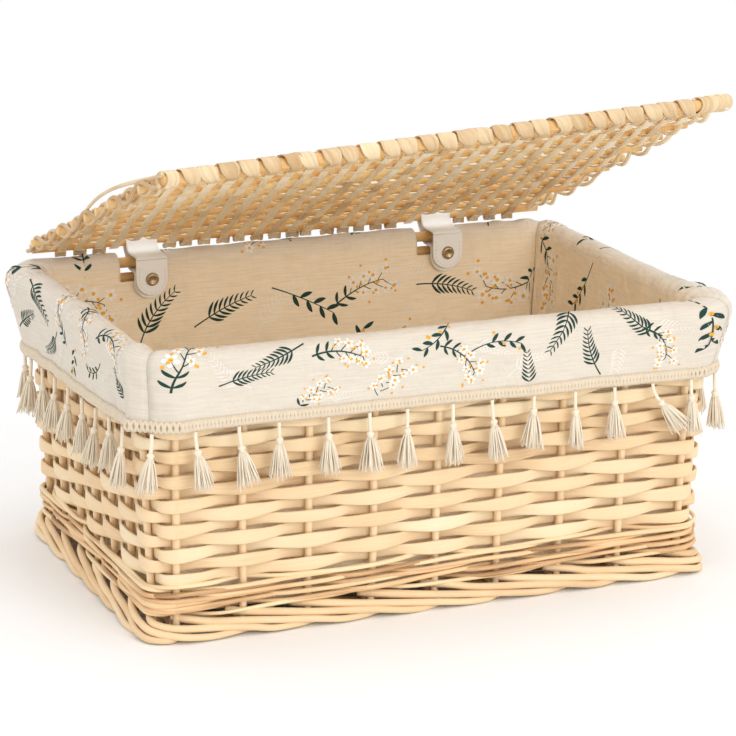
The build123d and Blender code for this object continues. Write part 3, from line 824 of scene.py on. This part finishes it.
# %% Lining floor
FLOOR_HALF_X, FLOOR_HALF_Y = 172.6, 108.6
floor_columns, floor_rows = 70, 46
floor_s, floor_t = np.meshgrid(
    np.linspace(-FLOOR_HALF_X, FLOOR_HALF_X, floor_columns),
    np.linspace(-FLOOR_HALF_Y, FLOOR_HALF_Y, floor_rows),
)
floor_z = FLOOR[1] + 0.35 * np.sin(floor_s / 31) * np.cos(floor_t / 23)
floor_z = floor_z + 0.2 * np.sin(floor_s / 13 + floor_t / 17)
upper = np.stack([floor_s, floor_t, floor_z + CLOTH], -1)
lower = np.stack([floor_s, floor_t, floor_z - CLOTH], -1)
whole = np.ones((floor_rows - 1, floor_columns - 1), bool)
bottom = Pile()
# The lining's floor takes the painted inside light in full.
shell(bottom, upper, lower, whole, np.ones_like(floor_s), np.stack([floor_s, floor_t], -1))
lining_floor = make("lining_bottom", bottom, COTTON, nodes=["lining_floor"])

# %% [markdown]
# ## The print
# The cloth carries small sprigs in dark green, gold and white. An image would be simplest, but this model
# uses none, so a generic design is drawn: each stem, leaf, petal and dot is a small outline in millimetres,
# turned and placed at a point of the lining, and lifted a hair off its surface.


# %% Outlines
def ribbon(points, widths):
    """A tapered line: a grid two points wide, half the width to each side of the curve."""
    points = np.asarray(points, float)
    along = unit(np.gradient(points, axis=0))
    side = np.stack([-along[:, 1], along[:, 0]], 1) * np.asarray(widths, float)[:, None] / 2
    return np.stack([points + side, points - side], 1)


def curve(start, heading, length, bend, count=9):
    """A stem: headings turn evenly by the bend from start to end."""
    angle = heading + bend * np.linspace(0, 1, count)
    step = np.stack([np.cos(angle), np.sin(angle)], 1) * length / (count - 1)
    return np.asarray(start, float) + np.concatenate([[[0, 0]], np.cumsum(step[:-1], 0)])


def leaf(start, heading, length, width, bend=0.3):
    """A pointed leaf: a ribbon whose width follows sin(pi t) to a power."""
    t = np.linspace(0, 1, 7)
    widths = width * np.sin(np.pi * (0.04 + 0.94 * t)) ** 0.8 + 0.15
    return ribbon(curve(start, heading, length, bend, 7), widths)


def spin(turn):
    """Matrix that turns row vectors by an angle."""
    c, s = np.cos(turn), np.sin(turn)
    return np.array([[c, s], [-s, c]])


def disc(centre, radius, squeeze=1.0, turn=0.0, count=8):
    """A dot: a grid of opposite corners of an ellipse drawn with straight sides."""
    t = (np.arange(count // 2) + 0.5) * 2 * np.pi / count
    upper = np.stack([np.cos(t), np.sin(t) * squeeze], 1) * radius
    lower = upper * [1, -1]
    return np.stack([upper @ spin(turn), lower @ spin(turn)], 1) + np.asarray(centre, float)


def heading_at(stem, i):
    """Direction of the stem's last step to point i, as an angle."""
    return np.arctan2(*(stem[i] - stem[i - 1])[::-1])


print("A leaf has", len(leaf((0, 0), 0.0, 5.0, 1.0)), "pairs of points")

# %% Fern and blossom
GREEN, GOLD, WHITE, GHOST = 0, 1, 2, 3


def fern(art, size, color=GREEN):
    """A curved frond with paired narrow leaves that shorten to the tip."""
    stem = curve((0, 0), 1.35, size, art.normal(0.5, 0.25), 12)
    parts = [(color, ribbon(stem, np.linspace(1.0, 0.5, 12)))]
    for i in range(3, 12):
        heading = heading_at(stem, i)
        reach = size * (0.30 - 0.018 * i)
        for way in (-1, 1):
            parts.append((color, leaf(stem[i], heading + way * 1.0, reach, reach * 0.17, -way * 0.6)))
    return parts


def blossom(parts, art, centre, size):
    """A small open flower: five round petals about a gold eye."""
    turn = art.uniform(0, 6.28)
    for k in range(5):
        a = turn + k * 2 * np.pi / 5
        middle = np.array(centre) + size * 0.62 * np.array([np.cos(a), np.sin(a)])
        parts.append((WHITE, disc(middle, size * 0.42, 0.8, a)))
    parts.append((GOLD, disc(centre, size * 0.30)))


print("A fern has", len(fern(np.random.default_rng(0), 40.0)), "outlines")


# %% Bough and twig
def bough(art, size):
    """A bent branch in bloom: side stems alternate along it, each with a blossom and two gold buds."""
    stem = curve((0, 0), 1.3, size, art.normal(0.9, 0.3), 12)
    parts = [(GREEN, ribbon(stem, np.linspace(1.1, 0.5, 12)))]
    for i in (1, 3):
        for way in (-1, 1):
            parts.append((GREEN, leaf(stem[i], 1.3 + way * 1.15, size * 0.2, size * 0.05, -way * 0.6)))
    for i in range(4, 12):
        way = 1 if i % 2 else -1
        heading = heading_at(stem, i)
        twiglet = curve(stem[i], heading + way * 0.9, size * art.uniform(0.14, 0.26), -way * 0.4, 6)
        parts.append((GREEN, ribbon(twiglet, np.linspace(0.6, 0.4, 6))))
        blossom(parts, art, twiglet[-1], size * art.uniform(0.08, 0.105))
        for _ in range(2):
            parts.append((GOLD, disc(twiglet[-1] + art.normal(0, size * 0.085, 2), size * 0.024)))
    return parts


def twig(art, size):
    """A bent twig with alternate oval leaves and a few gold dots."""
    stem = curve((0, 0), 1.2, size, art.normal(0.7, 0.3), 10)
    parts = [(GREEN, ribbon(stem, np.linspace(0.9, 0.5, 10)))]
    for i in range(3, 10):
        way = 1 if i % 2 else -1
        heading = heading_at(stem, i)
        parts.append((GREEN, leaf(stem[i], heading + way * 0.9, size * 0.19, size * 0.062, -way * 0.4)))
        if art.random() < 0.35:
            parts.append((GOLD, disc(stem[i] + art.normal(0, 2.2, 2), size * 0.03)))
    return parts


print("Motifs: fern, bough, twig and a pale fern behind them")


# %% Places on the cloth
def placed(parts, at, turn):
    """A motif turned about the middle of its points and moved to a place on the cloth."""
    points = np.concatenate([shape.reshape(-1, 2) for _, shape in parts])
    middle = (points.min(0) + points.max(0)) / 2
    return [(color, (shape - middle) @ spin(turn) + np.asarray(at)) for color, shape in parts]


def scatter(art, low, high, v_low, v_high, pitch):
    """Staggered rows of places over a stretch of cloth, each moved a little."""
    places = []
    rows = max(1, int(round((v_high - v_low) / (pitch * 0.9))))
    for row in range(rows):
        v = v_low + (row + 0.5) * (v_high - v_low) / rows
        for s in np.arange(low + (row % 2) * pitch / 2, high, pitch):
            places.append((s + art.normal(0, pitch * 0.10), v + art.normal(0, pitch * 0.07)))
    return places


def off_print(flat):
    """True where an outline runs past the cloth's edges or into a strap's notch."""
    s, v = flat.T
    if v.min() < 4 or v.max() > CLOTH_V - 7:
        return True
    x = back_start + CORNER_X - np.mod(s, RIM_ROUND)
    near = (np.abs(x[:, None] - STRAP_X[None, :] + 3.7) < 18).any(1) & (np.mod(s, RIM_ROUND) > back_start)
    return (near & (v > NOTCH_LOW - 2) & (v < NOTCH_HIGH + 2)).any()


art = np.random.default_rng(23)
places = [(s, v, 1.0) for s, v in scatter(art, 0, RIM_ROUND - 30, 12, WALL_V - 6, 52)]
for start, level, grow in ((12, CUFF_V - 4, 0.8), (36, CUFF_V + 19, 0.7)):
    for s in np.arange(start, RIM_ROUND - 20, 48):
        places.append((s + art.normal(0, 4), level + art.normal(0, 4), grow))
print(len(places), "motifs to place")

# %% Print
LIFT = {GREEN: 0.10, GOLD: 0.16, WHITE: 0.12, GHOST: 0.06}
LEAF_GREEN, BUD_GOLD = (0.024, 0.06, 0.048), (0.88, 0.44, 0.045)
INKS = {
    GREEN: ("print_leaves", cotton("ink_green", LEAF_GREEN, LEAF_GREEN, sheen=0.0)),
    GOLD: ("print_buds", cotton("ink_gold", BUD_GOLD, BUD_GOLD, sheen=0.0)),
    # Petal and pale-fern inks are painted lighter and warmer inside, like the cloth: painted light.
    WHITE: ("print_petals", cotton("ink_white", (0.90, 0.87, 0.82), (0.95, 0.90, 0.82))),
    GHOST: ("print_ghosts", cotton("ink_ghost", (0.84, 0.77, 0.68), (0.97, 0.87, 0.70))),
}
outlines = {color: Pile() for color in INKS}
kinds = [bough, twig, bough, fern]
for i, (s, v, grow) in enumerate(places):
    size = grow * art.uniform(40, 52)
    motif = kinds[(i + int(art.integers(0, 2))) % 4](art, size)
    shapes = placed(motif, (s, v), art.uniform(0, 6.28))
    if i % 2:
        pale_fern = fern(art, size * 0.9, GHOST)
        shapes += placed(pale_fern, (s + 27 * grow, v + art.normal(0, 8)), art.uniform(0, 6.28))
    for color, shape in shapes:
        flat = shape.reshape(-1, 2)
        if off_print(flat):
            continue
        lift = CLOTH + LIFT[color]
        points, above = cloth(*flat.T, lift), cloth(*flat.T, lift + 1)
        faces = facing(points, grid_faces(len(shape), 2), above - points)
        outlines[color].add(points, faces, painted_inside_light(flat[:, 1]), flat)
prints = [make(name, outlines[color], ink) for color, (name, ink) in INKS.items()]

# %% [markdown]
# ## Braid and tassels
# The braid is a flat tape with two wavy cords that cross on it. Each tassel is a cord, a knot and a skirt
# of sixty threads. Hair could make the threads, but here they are swept meshes.


# %% Braid
def hem_line(s):
    """The cuff's face just above the hem, and its outward normal."""
    return cloth(s, np.full_like(s, CLOTH_V - 3.0), CLOTH), rim(s)[1]


braid = Pile()
s = np.linspace(0, RIM_ROUND, 900, endpoint=False)
path, normal = hem_line(s)
upward = np.broadcast_to(UP, path.shape)
# Tape and cords take the trim's painted shade: the tape in full, the cords less.
sweep(braid, path + normal * 0.35, normal, upward, superellipse(0.6, 3.6, 8, 3), closed=True, tint=1.0)
WAVE_LENGTH, WAVE_HEIGHT = 4.8, 3.0
waves = round(RIM_ROUND / WAVE_LENGTH)
s = np.linspace(0, RIM_ROUND, waves * 10, endpoint=False)
path, normal = hem_line(s)
for way in (0, np.pi):
    turn = 2 * np.pi * waves * s / RIM_ROUND + way
    off, rise = 1.1 + 0.5 * np.cos(turn * 2), WAVE_HEIGHT * np.sin(turn)
    line = path + normal * off[:, None] + UP * rise[:, None]
    rod(braid, line, normal, round_bar(1.15, 8), closed=True, tint=0.72)
hem = make("hem_braid", braid, TRIM, nodes=["trim_braid"])

# %% Tassels
TASSELS, TASSEL_FIRST, TASSEL_AT, TASSEL_TOP = 46, 8.4, 8.65, 130.5
THREADS, GOLDEN_ANGLE, TANGLED, FLANK_FROM = 60, 2.399963, 11, 176
TASSEL_ROUND = RIM_ROUND + 2 * np.pi * TASSEL_AT
KNOT_SHAPE = np.array([0.35, 0.85, 1.0, 1.0, 0.92, 0.74, 0.78, 0.9, 0.86])
tassels = {side: Pile() for side in SIDES}
for i in range(TASSELS):
    where = TASSEL_FIRST + TASSEL_ROUND * i / TASSELS
    point, normal = rim(np.array([where]), at=TASSEL_AT)
    point, normal = point[0] + normal[0] * TASSEL_AT, normal[0]
    top = TASSEL_TOP + float(hem_shift(np.mod(where * RIM_ROUND / TASSEL_ROUND, RIM_ROUND)))
    along = np.array([-normal[1], normal[0], 0])
    lean = rng.normal(0, 0.05) + (0.45 if i == TANGLED else 0)
    swing = along * lean + normal * abs(rng.normal(0.04, 0.03))
    head = np.array([point[0], point[1], top]) + along * rng.normal(0, 1.2)
    cord_length = rng.normal(11.5, 1.2)
    t = np.linspace(0, 1, 8)[:, None]
    drop = head + (-UP * 1.0 + swing * t) * cord_length * t
    flank = abs(point[0]) > FLANK_FROM
    side = ("right" if point[0] > 0 else "left") if flank else ("back" if point[1] > 0 else "front")
    pile = tassels[side]
    rod(pile, drop, normal, round_bar(1.2, 8), tint=0.05)
    down = unit((drop[-1] - drop[-2])[None, :])[0]
    knot = drop[-1] + down * np.linspace(-0.6, 4.6, 9)[:, None]
    first, second = frames(knot, normal)
    sweep(pile, knot, first, second, round_bar(2.4), KNOT_SHAPE, tint=0.05)
    neck, flare = knot[-3], rng.normal(6.6, 0.9)
    for k in range(THREADS):
        a = k * GOLDEN_ANGLE + rng.normal(0, 0.2)
        r = np.sqrt((k + 0.5) / THREADS)
        aside = first[-1] * np.cos(a) + second[-1] * np.sin(a)
        strand = rng.normal(19.5, 1.6)
        t = np.linspace(0, 1, 6)[:, None]
        out = aside * (1.8 * r + (flare - 1.8) * r * t**0.7 + rng.normal(0, 0.6) * t**2)
        line = neck + out + down * strand * t + along * rng.normal(0, 0.7) * t**2
        rod(pile, line, aside, round_bar(0.5, 4), np.linspace(1.1, 0.8, 6), tint=rng.uniform(0, 0.15))
print(TASSELS, "tassels of", THREADS, "threads")

# %% Tassels, one piece for each side
for side, (panel, cut_area, cut_length) in panels.items():
    fringe = make(f"hem_tassels_{side}", tassels[side], TRIM, nodes=[f"tassels_{side}"])

# %% [markdown]
# ## The lid
# The lid is a mat: flat strips run from back to front, over and under nine rods, and are hooked round a
# rail at each edge. It could be woven flat and turned afterwards, but a finished piece stays unturned, so a
# function places its points: place along the length, depth from the hinge line, height off the middle.
# The lid is slightly twisted: its opening angle grows evenly from the left end to the right end.


# %% Lid rods and rails
def lid(x, depth, height):
    """A point of the lid, with a = open + twist * x / half.

    y = hinge - depth cos(a) + height sin(a), z = hinge + depth sin(a) + height cos(a).
    """
    x, depth, height = np.broadcast_arrays(*(np.asarray(value, float) for value in (x, depth, height)))
    a = np.radians(LID_OPEN + LID_TWIST * x / LID_HALF)
    y = HINGE[1] - depth * np.cos(a) + height * np.sin(a)
    z = HINGE[2] + depth * np.sin(a) + height * np.cos(a)
    return np.stack([x, y, z], -1)


ROD_PITCH = LID_DEPTH / 10
rods = Pile()
x = np.linspace(-1, 1, 40)
for j in range(1, 10):
    ends = LID_HALF + rng.normal(-1, 2.0, 2)
    along = np.where(x < 0, x * ends[0], x * ends[1])
    path = lid(along, ROD_PITCH * j + 0.8 * waver(x, 4, 3), 0.35 * waver(x, 4, 3))
    size = 1 + 0.05 * waver(x, 3, 4)
    rod(rods, path, UP, round_bar(2.6), size, tint=rng.normal(0.55, 0.1))
make("lid_cross_rods", rods, HONEY, "lid", nodes=["lid_rods"])

rails = Pile()
for depth, size in ((0.0, 3.5), (LID_DEPTH, 3.7)):
    path = lid(np.where(x < 0, x * (LID_HALF - 7), x * (LID_HALF - 2)), depth, 0.0)
    rod(rails, path, UP, round_bar(size, 12), tint=0.5 + 0.06 * waver(x, 3, 4))
make("lid_rails", rails, HONEY, "lid", nodes=["lid_back_rail", "lid_front_rail"])

# %% [markdown]
# A strip's height is a cosine of its depth, one way up for even strips and the other for odd ones. Its end
# is turned round the rail and comes back beside it, so a wrap runs half round the rail and one pitch along.

# %% The wrap of a strip's end
STRIPS, STRIP_PITCH, STRIP_RISE = 55, 6.3, 3.55
STRAP_ROOM, STRAP_RELIEF = 14.2, 14.0
FRONT_TURN, BACK_TURN, WRAP_RUN, BACK_HANG = 4.75, 4.45, 24, 2.6
WRAP_SECTION = superellipse(3.0, 0.55, 10, 3)


def at_strap(place):
    """True where a place along the lid lies behind a hinge strap."""
    return np.abs(np.abs(place) - STRAP_X[1]) < STRAP_ROOM


def wrap(pile, place, front):
    """A strip's end turned round a rail: half a circle about it, one pitch along, a run at each end."""
    centre, way, radius = (LID_DEPTH, 1, FRONT_TURN) if front else (0.0, -1, BACK_TURN)
    t = np.linspace(-0.28, 1.28, 26)
    a = np.pi * np.clip(t, 0, 1)
    run = np.minimum(t, 0) - np.maximum(t - 1, 0)
    around = centre + way * (radius * np.sin(a) + run * WRAP_RUN)
    over = way * radius * np.cos(a) * (1 - 0.10 * np.abs(run))
    if not front:
        over = over - BACK_HANG * np.maximum(np.sin(2 * a), 0)
    across = place + STRIP_PITCH * np.clip(t, 0, 1) + rng.normal(0, 0.5) + rng.normal(0, 1.2) * np.sin(a)
    flatten = (0.98 if front else 0.5) * hump(t - 0.40, 0.36)
    wide = 1 + flatten * (1 + 0.14 * rng.normal())
    scale = np.stack([wide, np.ones_like(wide)], 1)
    rod(pile, lid(across, around, over), X_AXIS, WRAP_SECTION, scale, tint=rng.normal(0.22, 0.07))


strip_places = (np.arange(STRIPS) - (STRIPS - 1) / 2) * STRIP_PITCH
print("Strips behind a strap:", int(at_strap(strip_places).sum()))

# %% Lid strips
strips, wraps = Pile(), Pile()
for i, place in enumerate(strip_places):
    phase = 1 - 2 * (i % 2)
    depth = np.linspace(STRAP_RELIEF if at_strap(place) else 0.0, LID_DEPTH, 110)
    ends = np.maximum(1 - depth / 20, 0) * 0.75 + np.maximum(1 - (LID_DEPTH - depth) / 20, 0) * 0.95
    height = phase * (STRIP_RISE + ends) * np.cos(np.pi * depth / ROD_PITCH)
    wander = place + 0.8 * waver(depth, 420, 7)
    path = lid(wander, depth, height)
    first, second = frames(path, X_AXIS)
    roll = (0.10 * waver(depth, 300, 6))[:, None]
    first, second = unit(first + second * roll), unit(second - first * roll)
    wide = 1 + 0.11 * waver(depth, 350, 7)
    scale = np.stack([wide, np.ones_like(wide)], 1)
    shade = rng.normal(0.52, 0.14) + 0.09 * waver(depth, 300, 6)
    sweep(strips, path, first, second, superellipse(3.0, 0.62, 10, 3), scale, tint=shade)
    front = i % 2 == 0
    free = not (at_strap(place) or at_strap(place + STRIP_PITCH))
    if i < STRIPS - 1 and (front or free):
        wrap(wraps, place, front)
for place in (-179.5, 171.6, 178.5, 185.2):
    a = np.linspace(0, 2 * np.pi, 30, endpoint=False)
    path = lid(place + 2.2 * np.sin(a), LID_DEPTH + 4.7 * np.sin(a), 4.7 * np.cos(a))
    rod(wraps, path, X_AXIS, superellipse(3.9, 0.55, 10, 3), closed=True, tint=rng.normal(0.22, 0.06))
make("lid_weave_strips", strips, LID_WILLOW_PAINTED_LIGHT, "lid", nodes=["lid_strips"])
make("lid_rail_wraps", wraps, LID_WILLOW_PAINTED_LIGHT, "lid")

# %% [markdown]
# Along both ends of the lid thin rods are twined round the cross rods. On the left a loose one springs away
# from the edge in a bow, which is a sine of its length.

# %% Twined ends of the lid
depth = np.linspace(0, LID_DEPTH + 3, 130)
settle = np.clip((depth + 6) / 20, 0.4, 1)


def twine(pile, place, rise, phase, section, shade):
    """A thin rod along an end: its height is a cosine of its depth, and its thickness wavers."""
    height = rise * np.cos(np.pi * depth / ROD_PITCH + np.pi * phase) * settle
    size = 1 + 0.1 * waver(depth, 200, 4)
    rod(pile, lid(place, depth, height), X_AXIS, section, size, tint=rng.normal(*shade))


edges = Pile()
for k in range(4):
    place = -177.8 - 3.1 * k + 1.2 * waver(depth, 300, 5)
    twine(edges, place, 4.2 - 0.2 * k, k, superellipse(1.5, 1.4, 8, 2), (0.3, 0.09))
t = np.linspace(0, 1, 60)
bow = np.sin(np.pi * t)
path = lid(-183.0 - 7.0 * bow, LID_DEPTH + 2 - 175 * t, 2.5 + 5.0 * bow**1.2)
rod(edges, path, X_AXIS, round_bar(1.35, 8), np.linspace(1, 0.7, 60), tint=0.32)
make("lid_left_edge", edges, LID_WILLOW_PAINTED_LIGHT, "lid", nodes=["lid_left_twine"])

edges = Pile()
for k, (middle, reach) in enumerate(((179.0, 0.6), (184.2, 3.4), (187.0, 3.2))):
    swing = np.cos(np.pi * depth / (2 * ROD_PITCH) + np.pi * (k % 2))
    place = middle + reach * swing + 0.6 * waver(depth, 300, 5)
    twine(edges, place, 4.2, k, superellipse(1.6, 1.3, 8, 2), (0.4, 0.1))
make("lid_right_edge", edges, LID_WILLOW_PAINTED_LIGHT, "lid", nodes=["lid_right_twine"])

# %% [markdown]
# ## Straps and studs
# Each hinge is a leather strap looped round the hoop and the lid's back rail. Its flap is a slab with a
# half-round end: a Bevel modifier would ease its edges, and a stack of outlines drawn in at both faces does
# the same in the array. A row of stitches follows its edge, and the ringed stud is a turned profile.


# %% Outlines of the straps
def flap_outline(inset_by, top=181.8, centre=168.5, half=11.0, count=22):
    """Left top corner, down and round the half disc to the right top corner, moved in by the inset."""
    a = np.linspace(np.pi, 2 * np.pi, count)
    r = half - inset_by
    bend = np.stack([r * np.cos(a), centre + r * np.sin(a)], 1)
    sides = np.linspace(top - inset_by, centre, 7)[:-1]
    left = np.stack([np.full(6, -r), sides], 1)
    return np.concatenate([left, bend, left[::-1] * [-1, 1]])


def slab(pile, x, layers, back=0.0, **shape):
    """A stack of outlines, each with its own inset and depth, filled at both ends."""
    rings = []
    for inset_by, y in layers:
        outline = flap_outline(inset_by, **shape)
        rings.append(np.stack([outline[:, 0] + x, np.full(len(outline), y + back), outline[:, 1]], 1))
    faces, smooth = tube_faces(len(layers), len(rings[0]))
    pile.add(np.stack(rings), faces[:, ::-1], smooth=smooth)


def lathe(pile, centre, profile_points, count=28):
    """Profile of (radius, y) turned about the line through the centre along Y."""
    a = np.arange(count) * 2 * np.pi / count
    r, y = np.asarray(profile_points, float).T[..., None]
    x, z = centre[0] + r * np.cos(a), centre[1] + r * np.sin(a)
    faces, smooth = tube_faces(len(r), count)
    pile.add(np.stack(np.broadcast_arrays(x, y, z), -1), faces[:, ::-1], smooth=smooth)


EASED = [(0.5, 108.8), (0.12, 108.95), (0.0, 109.3), (0.0, 109.95), (0.12, 110.25), (0.5, 110.4)]
STUD_HEIGHT = 168.5
STUD = [(0.05, 107.9), (1.3, 107.75), (1.9, 107.6), (2.1, 107.5), (2.5, 107.2), (3.0, 107.1), (3.6, 107.2)]
STUD += [(4.2, 107.7), (4.6, 108.4), (4.6, 108.9), (1.2, 108.9), (1.2, 110.3), (3.6, 110.4), (3.6, 111.5)]
STUD += [(1.9, 111.6), (1.9, 110.7), (0.05, 110.7)]
print("Stud profile of", len(STUD), "points")

# %% The loop of a strap, seen from its edge: y and z
LOOP_RADIUS = 4.8
a = np.radians(np.linspace(170, -48, 18))
over_rail = np.stack([HINGE[1] + LOOP_RADIUS * np.cos(a), HINGE[2] + LOOP_RADIUS * np.sin(a)], 1)
a = np.radians(np.linspace(-42, -92, 7))
under_hoop = np.stack([RIM_WIDTH / 2 + LOOP_RADIUS * np.cos(a), RIM_HEIGHT + LOOP_RADIUS * np.sin(a)], 1)
over_hoop = [(109.6, 181.9), (110.0, 182.7), (111.6, 183.4), (116.0, 183.6), (122.0, 183.6)]
over_hoop += [(127.5, 184.4), (130.2, 187.2)]
tail = [(120.0, 172.8), (115.2, 172.6), (113.6, 171.2), (113.4, 168.0)]
loop = spline(np.concatenate([over_hoop, over_rail, under_hoop, tail]), 120)
print(f"Strap loop {np.linalg.norm(np.diff(loop, axis=0), axis=1).sum():.0f} mm long")

# %% Straps, stitches and studs
STITCH, STITCH_PITCH, STITCH_FACE, STITCH_HOLE = 1.9, 2.7, 108.72, 108.95
stitch_size = np.array([0.5, 1, 1, 1, 1, 0.5])
seam = flap_outline(2.0, top=180.0, count=60)
seam_length = np.concatenate([[0], np.cumsum(np.linalg.norm(np.diff(seam, axis=0), axis=1))])
for side, x in zip(("left", "right"), STRAP_X):
    tab = Pile()
    slab(tab, x, EASED)
    flap_body = f"{side}_flap"
    make(f"strap_tab_{side}", tab, STRAP, flap_body, nodes=[f"strap_flap_{side}"])
    stitches = Pile()
    for start in np.arange(0.6, seam_length[-1] - 2, STITCH_PITCH):
        t = start + np.linspace(0, STITCH, 6)
        across, height = (np.interp(t, seam_length, seam[:, k]) for k in range(2))
        spot = np.stack([across + x, np.full(6, STITCH_FACE), height], 1)
        spot[[0, -1], 1] = STITCH_HOLE
        rod(stitches, spot, (0.0, -1.0, 0.0), round_bar(0.26, 6), stitch_size)
    make(f"strap_stitches_{side}", stitches, THREAD, flap_body)
    stud = Pile()
    lathe(stud, (x, STUD_HEIGHT), STUD)
    make(f"strap_stud_{side}", stud, BRASS, flap_body, nodes=[f"snap_cap_{side}"])
    band = Pile()
    path = np.stack([np.full(len(loop), x), loop[:, 0], loop[:, 1]], 1)
    rod(band, path, X_AXIS, superellipse(11.0, 0.8, 16, 7))
    slab(band, x, EASED, back=3.8, top=171.0, centre=165.5)
    make(f"strap_band_{side}", band, STRAP, "basket", nodes=[f"strap_{side}"])
    stud_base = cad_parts[f"snap_stud_{side}"]
    stud_base.data.materials.clear()
    stud_base.data.materials.append(BRASS)

# %% [markdown]
# ## Stage, light and camera
# The basket stands on plain white. The floor keeps its shadow and fades out, and the sky is seen as white
# but lights a little less. A broad soft key comes from the front right, with a weak fill and a top light.
# The camera's place and turn were fitted to the corners of the rim.

# %% Floor
FADE_FROM, FADE_TO = 0.25, 0.75
floor_mesh = bpy.data.meshes.new("floor")
floor_mesh.from_pydata([(-6, -6, 0), (6, -6, 0), (6, 6, 0), (-6, 6, 0)], [], [(0, 1, 2, 3)])
floor = bpy.data.objects.new("floor", floor_mesh)
bpy.context.scene.collection.objects.link(floor)
ground, tree, shader = material("floor_white")
shader.inputs["Base Color"].default_value = (0.95, 0.95, 0.95, 1)
shader.inputs["Roughness"].default_value = 0.9
shader.inputs["Specular IOR Level"].default_value = 0.0
spot = tree.nodes.new("ShaderNodeTexCoord")
reach = tree.nodes.new("ShaderNodeVectorMath")
reach.operation = "LENGTH"
link(tree, spot, "Object", reach, 0)
fade = tree.nodes.new("ShaderNodeMapRange")
fade.inputs["From Min"].default_value = FADE_FROM
fade.inputs["From Max"].default_value = FADE_TO
link(tree, reach, "Value", fade, "Value")
clear = tree.nodes.new("ShaderNodeBsdfTransparent")
mix = tree.nodes.new("ShaderNodeMixShader")
link(tree, fade, "Result", mix, 0)
link(tree, shader, "BSDF", mix, 1)
link(tree, clear, "BSDF", mix, 2)
link(tree, mix, "Shader", tree.nodes["Material Output"], "Surface")
floor_mesh.materials.append(ground)
print("Floor fades from", FADE_FROM, "to", FADE_TO, "m")


# %% Lamps
def area_light(name, place, target, size, power, color=(1, 1, 1)):
    """A square lamp at a place, turned to a target."""
    data = bpy.data.lights.new(name, "AREA")
    data.shape, data.size, data.energy, data.color = "SQUARE", size, power, color
    lamp = bpy.data.objects.new(name, data)
    lamp.location = place
    aim = np.array(target, float) - np.array(place, float)
    lamp.rotation_euler = Vector(aim).to_track_quat("-Z", "Y").to_euler()
    bpy.context.scene.collection.objects.link(lamp)


area_light("key", (0.55, -2.4, 1.2), (0, 0, 0.15), 1.6, 23, (1.0, 0.985, 0.965))
area_light("fill", (-2.1, -0.9, 0.9), (0, 0, 0.12), 1.6, 3)
area_light("top", (0.1, 0.2, 2.3), (0, 0, 0.15), 1.8, 10)
print("Lamps:", ", ".join(lamp.name for lamp in bpy.data.lights))

# %% Sky
SKY_LIGHT = 0.9
world = bpy.data.worlds.new("studio")
world.use_nodes = True
sky = world.node_tree
sky.nodes["Background"].inputs["Color"].default_value = (1, 1, 1, 1)
sky.nodes["Background"].inputs["Strength"].default_value = SKY_LIGHT
seen = sky.nodes.new("ShaderNodeBackground")
seen.inputs["Color"].default_value = (1, 1, 1, 1)
rays = sky.nodes.new("ShaderNodeLightPath")
both = sky.nodes.new("ShaderNodeMixShader")
shown = rays.outputs["Is Camera Ray"]
for kind in ("Is Glossy Ray", "Is Transmission Ray"):
    either = sky.nodes.new("ShaderNodeMath")
    either.operation = "MAXIMUM"
    sky.links.new(shown, either.inputs[0])
    link(sky, rays, kind, either, 1)
    shown = either.outputs["Value"]
sky.links.new(shown, both.inputs[0])
link(sky, sky.nodes["Background"], "Background", both, 1)
link(sky, seen, "Background", both, 2)
link(sky, both, "Shader", sky.nodes["World Output"], "Surface")
bpy.context.scene.world = world
print("Sky lights at", SKY_LIGHT)

# %% Camera
RIGHT = np.array([0.92444, -0.3813, 0.00469])
ABOVE = np.array([0.09626, 0.24524, 0.96467])
FORWARD = np.array([0.36898, 0.89133, -0.26342])
CAMERA_AT, LENS, SENSOR = (-0.72038, -1.74818, 0.64018), 146.74, 36.0
camera_data = bpy.data.cameras.new("camera")
camera_data.lens, camera_data.sensor_width = LENS, SENSOR
camera_data.dof.use_dof = False
camera = bpy.data.objects.new("camera", camera_data)
turn = np.eye(4)
turn[:3, 0], turn[:3, 1], turn[:3, 2], turn[:3, 3] = RIGHT, ABOVE, -FORWARD, CAMERA_AT
camera.matrix_world = Matrix(turn.tolist())
bpy.context.scene.collection.objects.link(camera)
bpy.context.scene.camera = camera
bpy.context.scene.view_settings.view_transform = "Standard"
print("Camera at", [round(v, 2) for v in camera.matrix_world.translation])

# %% [markdown]
# ## Size
# The visible pieces stay in the CAD's box, apart from a few millimetres.

# %% The scene is updated
bpy.context.view_layer.update()
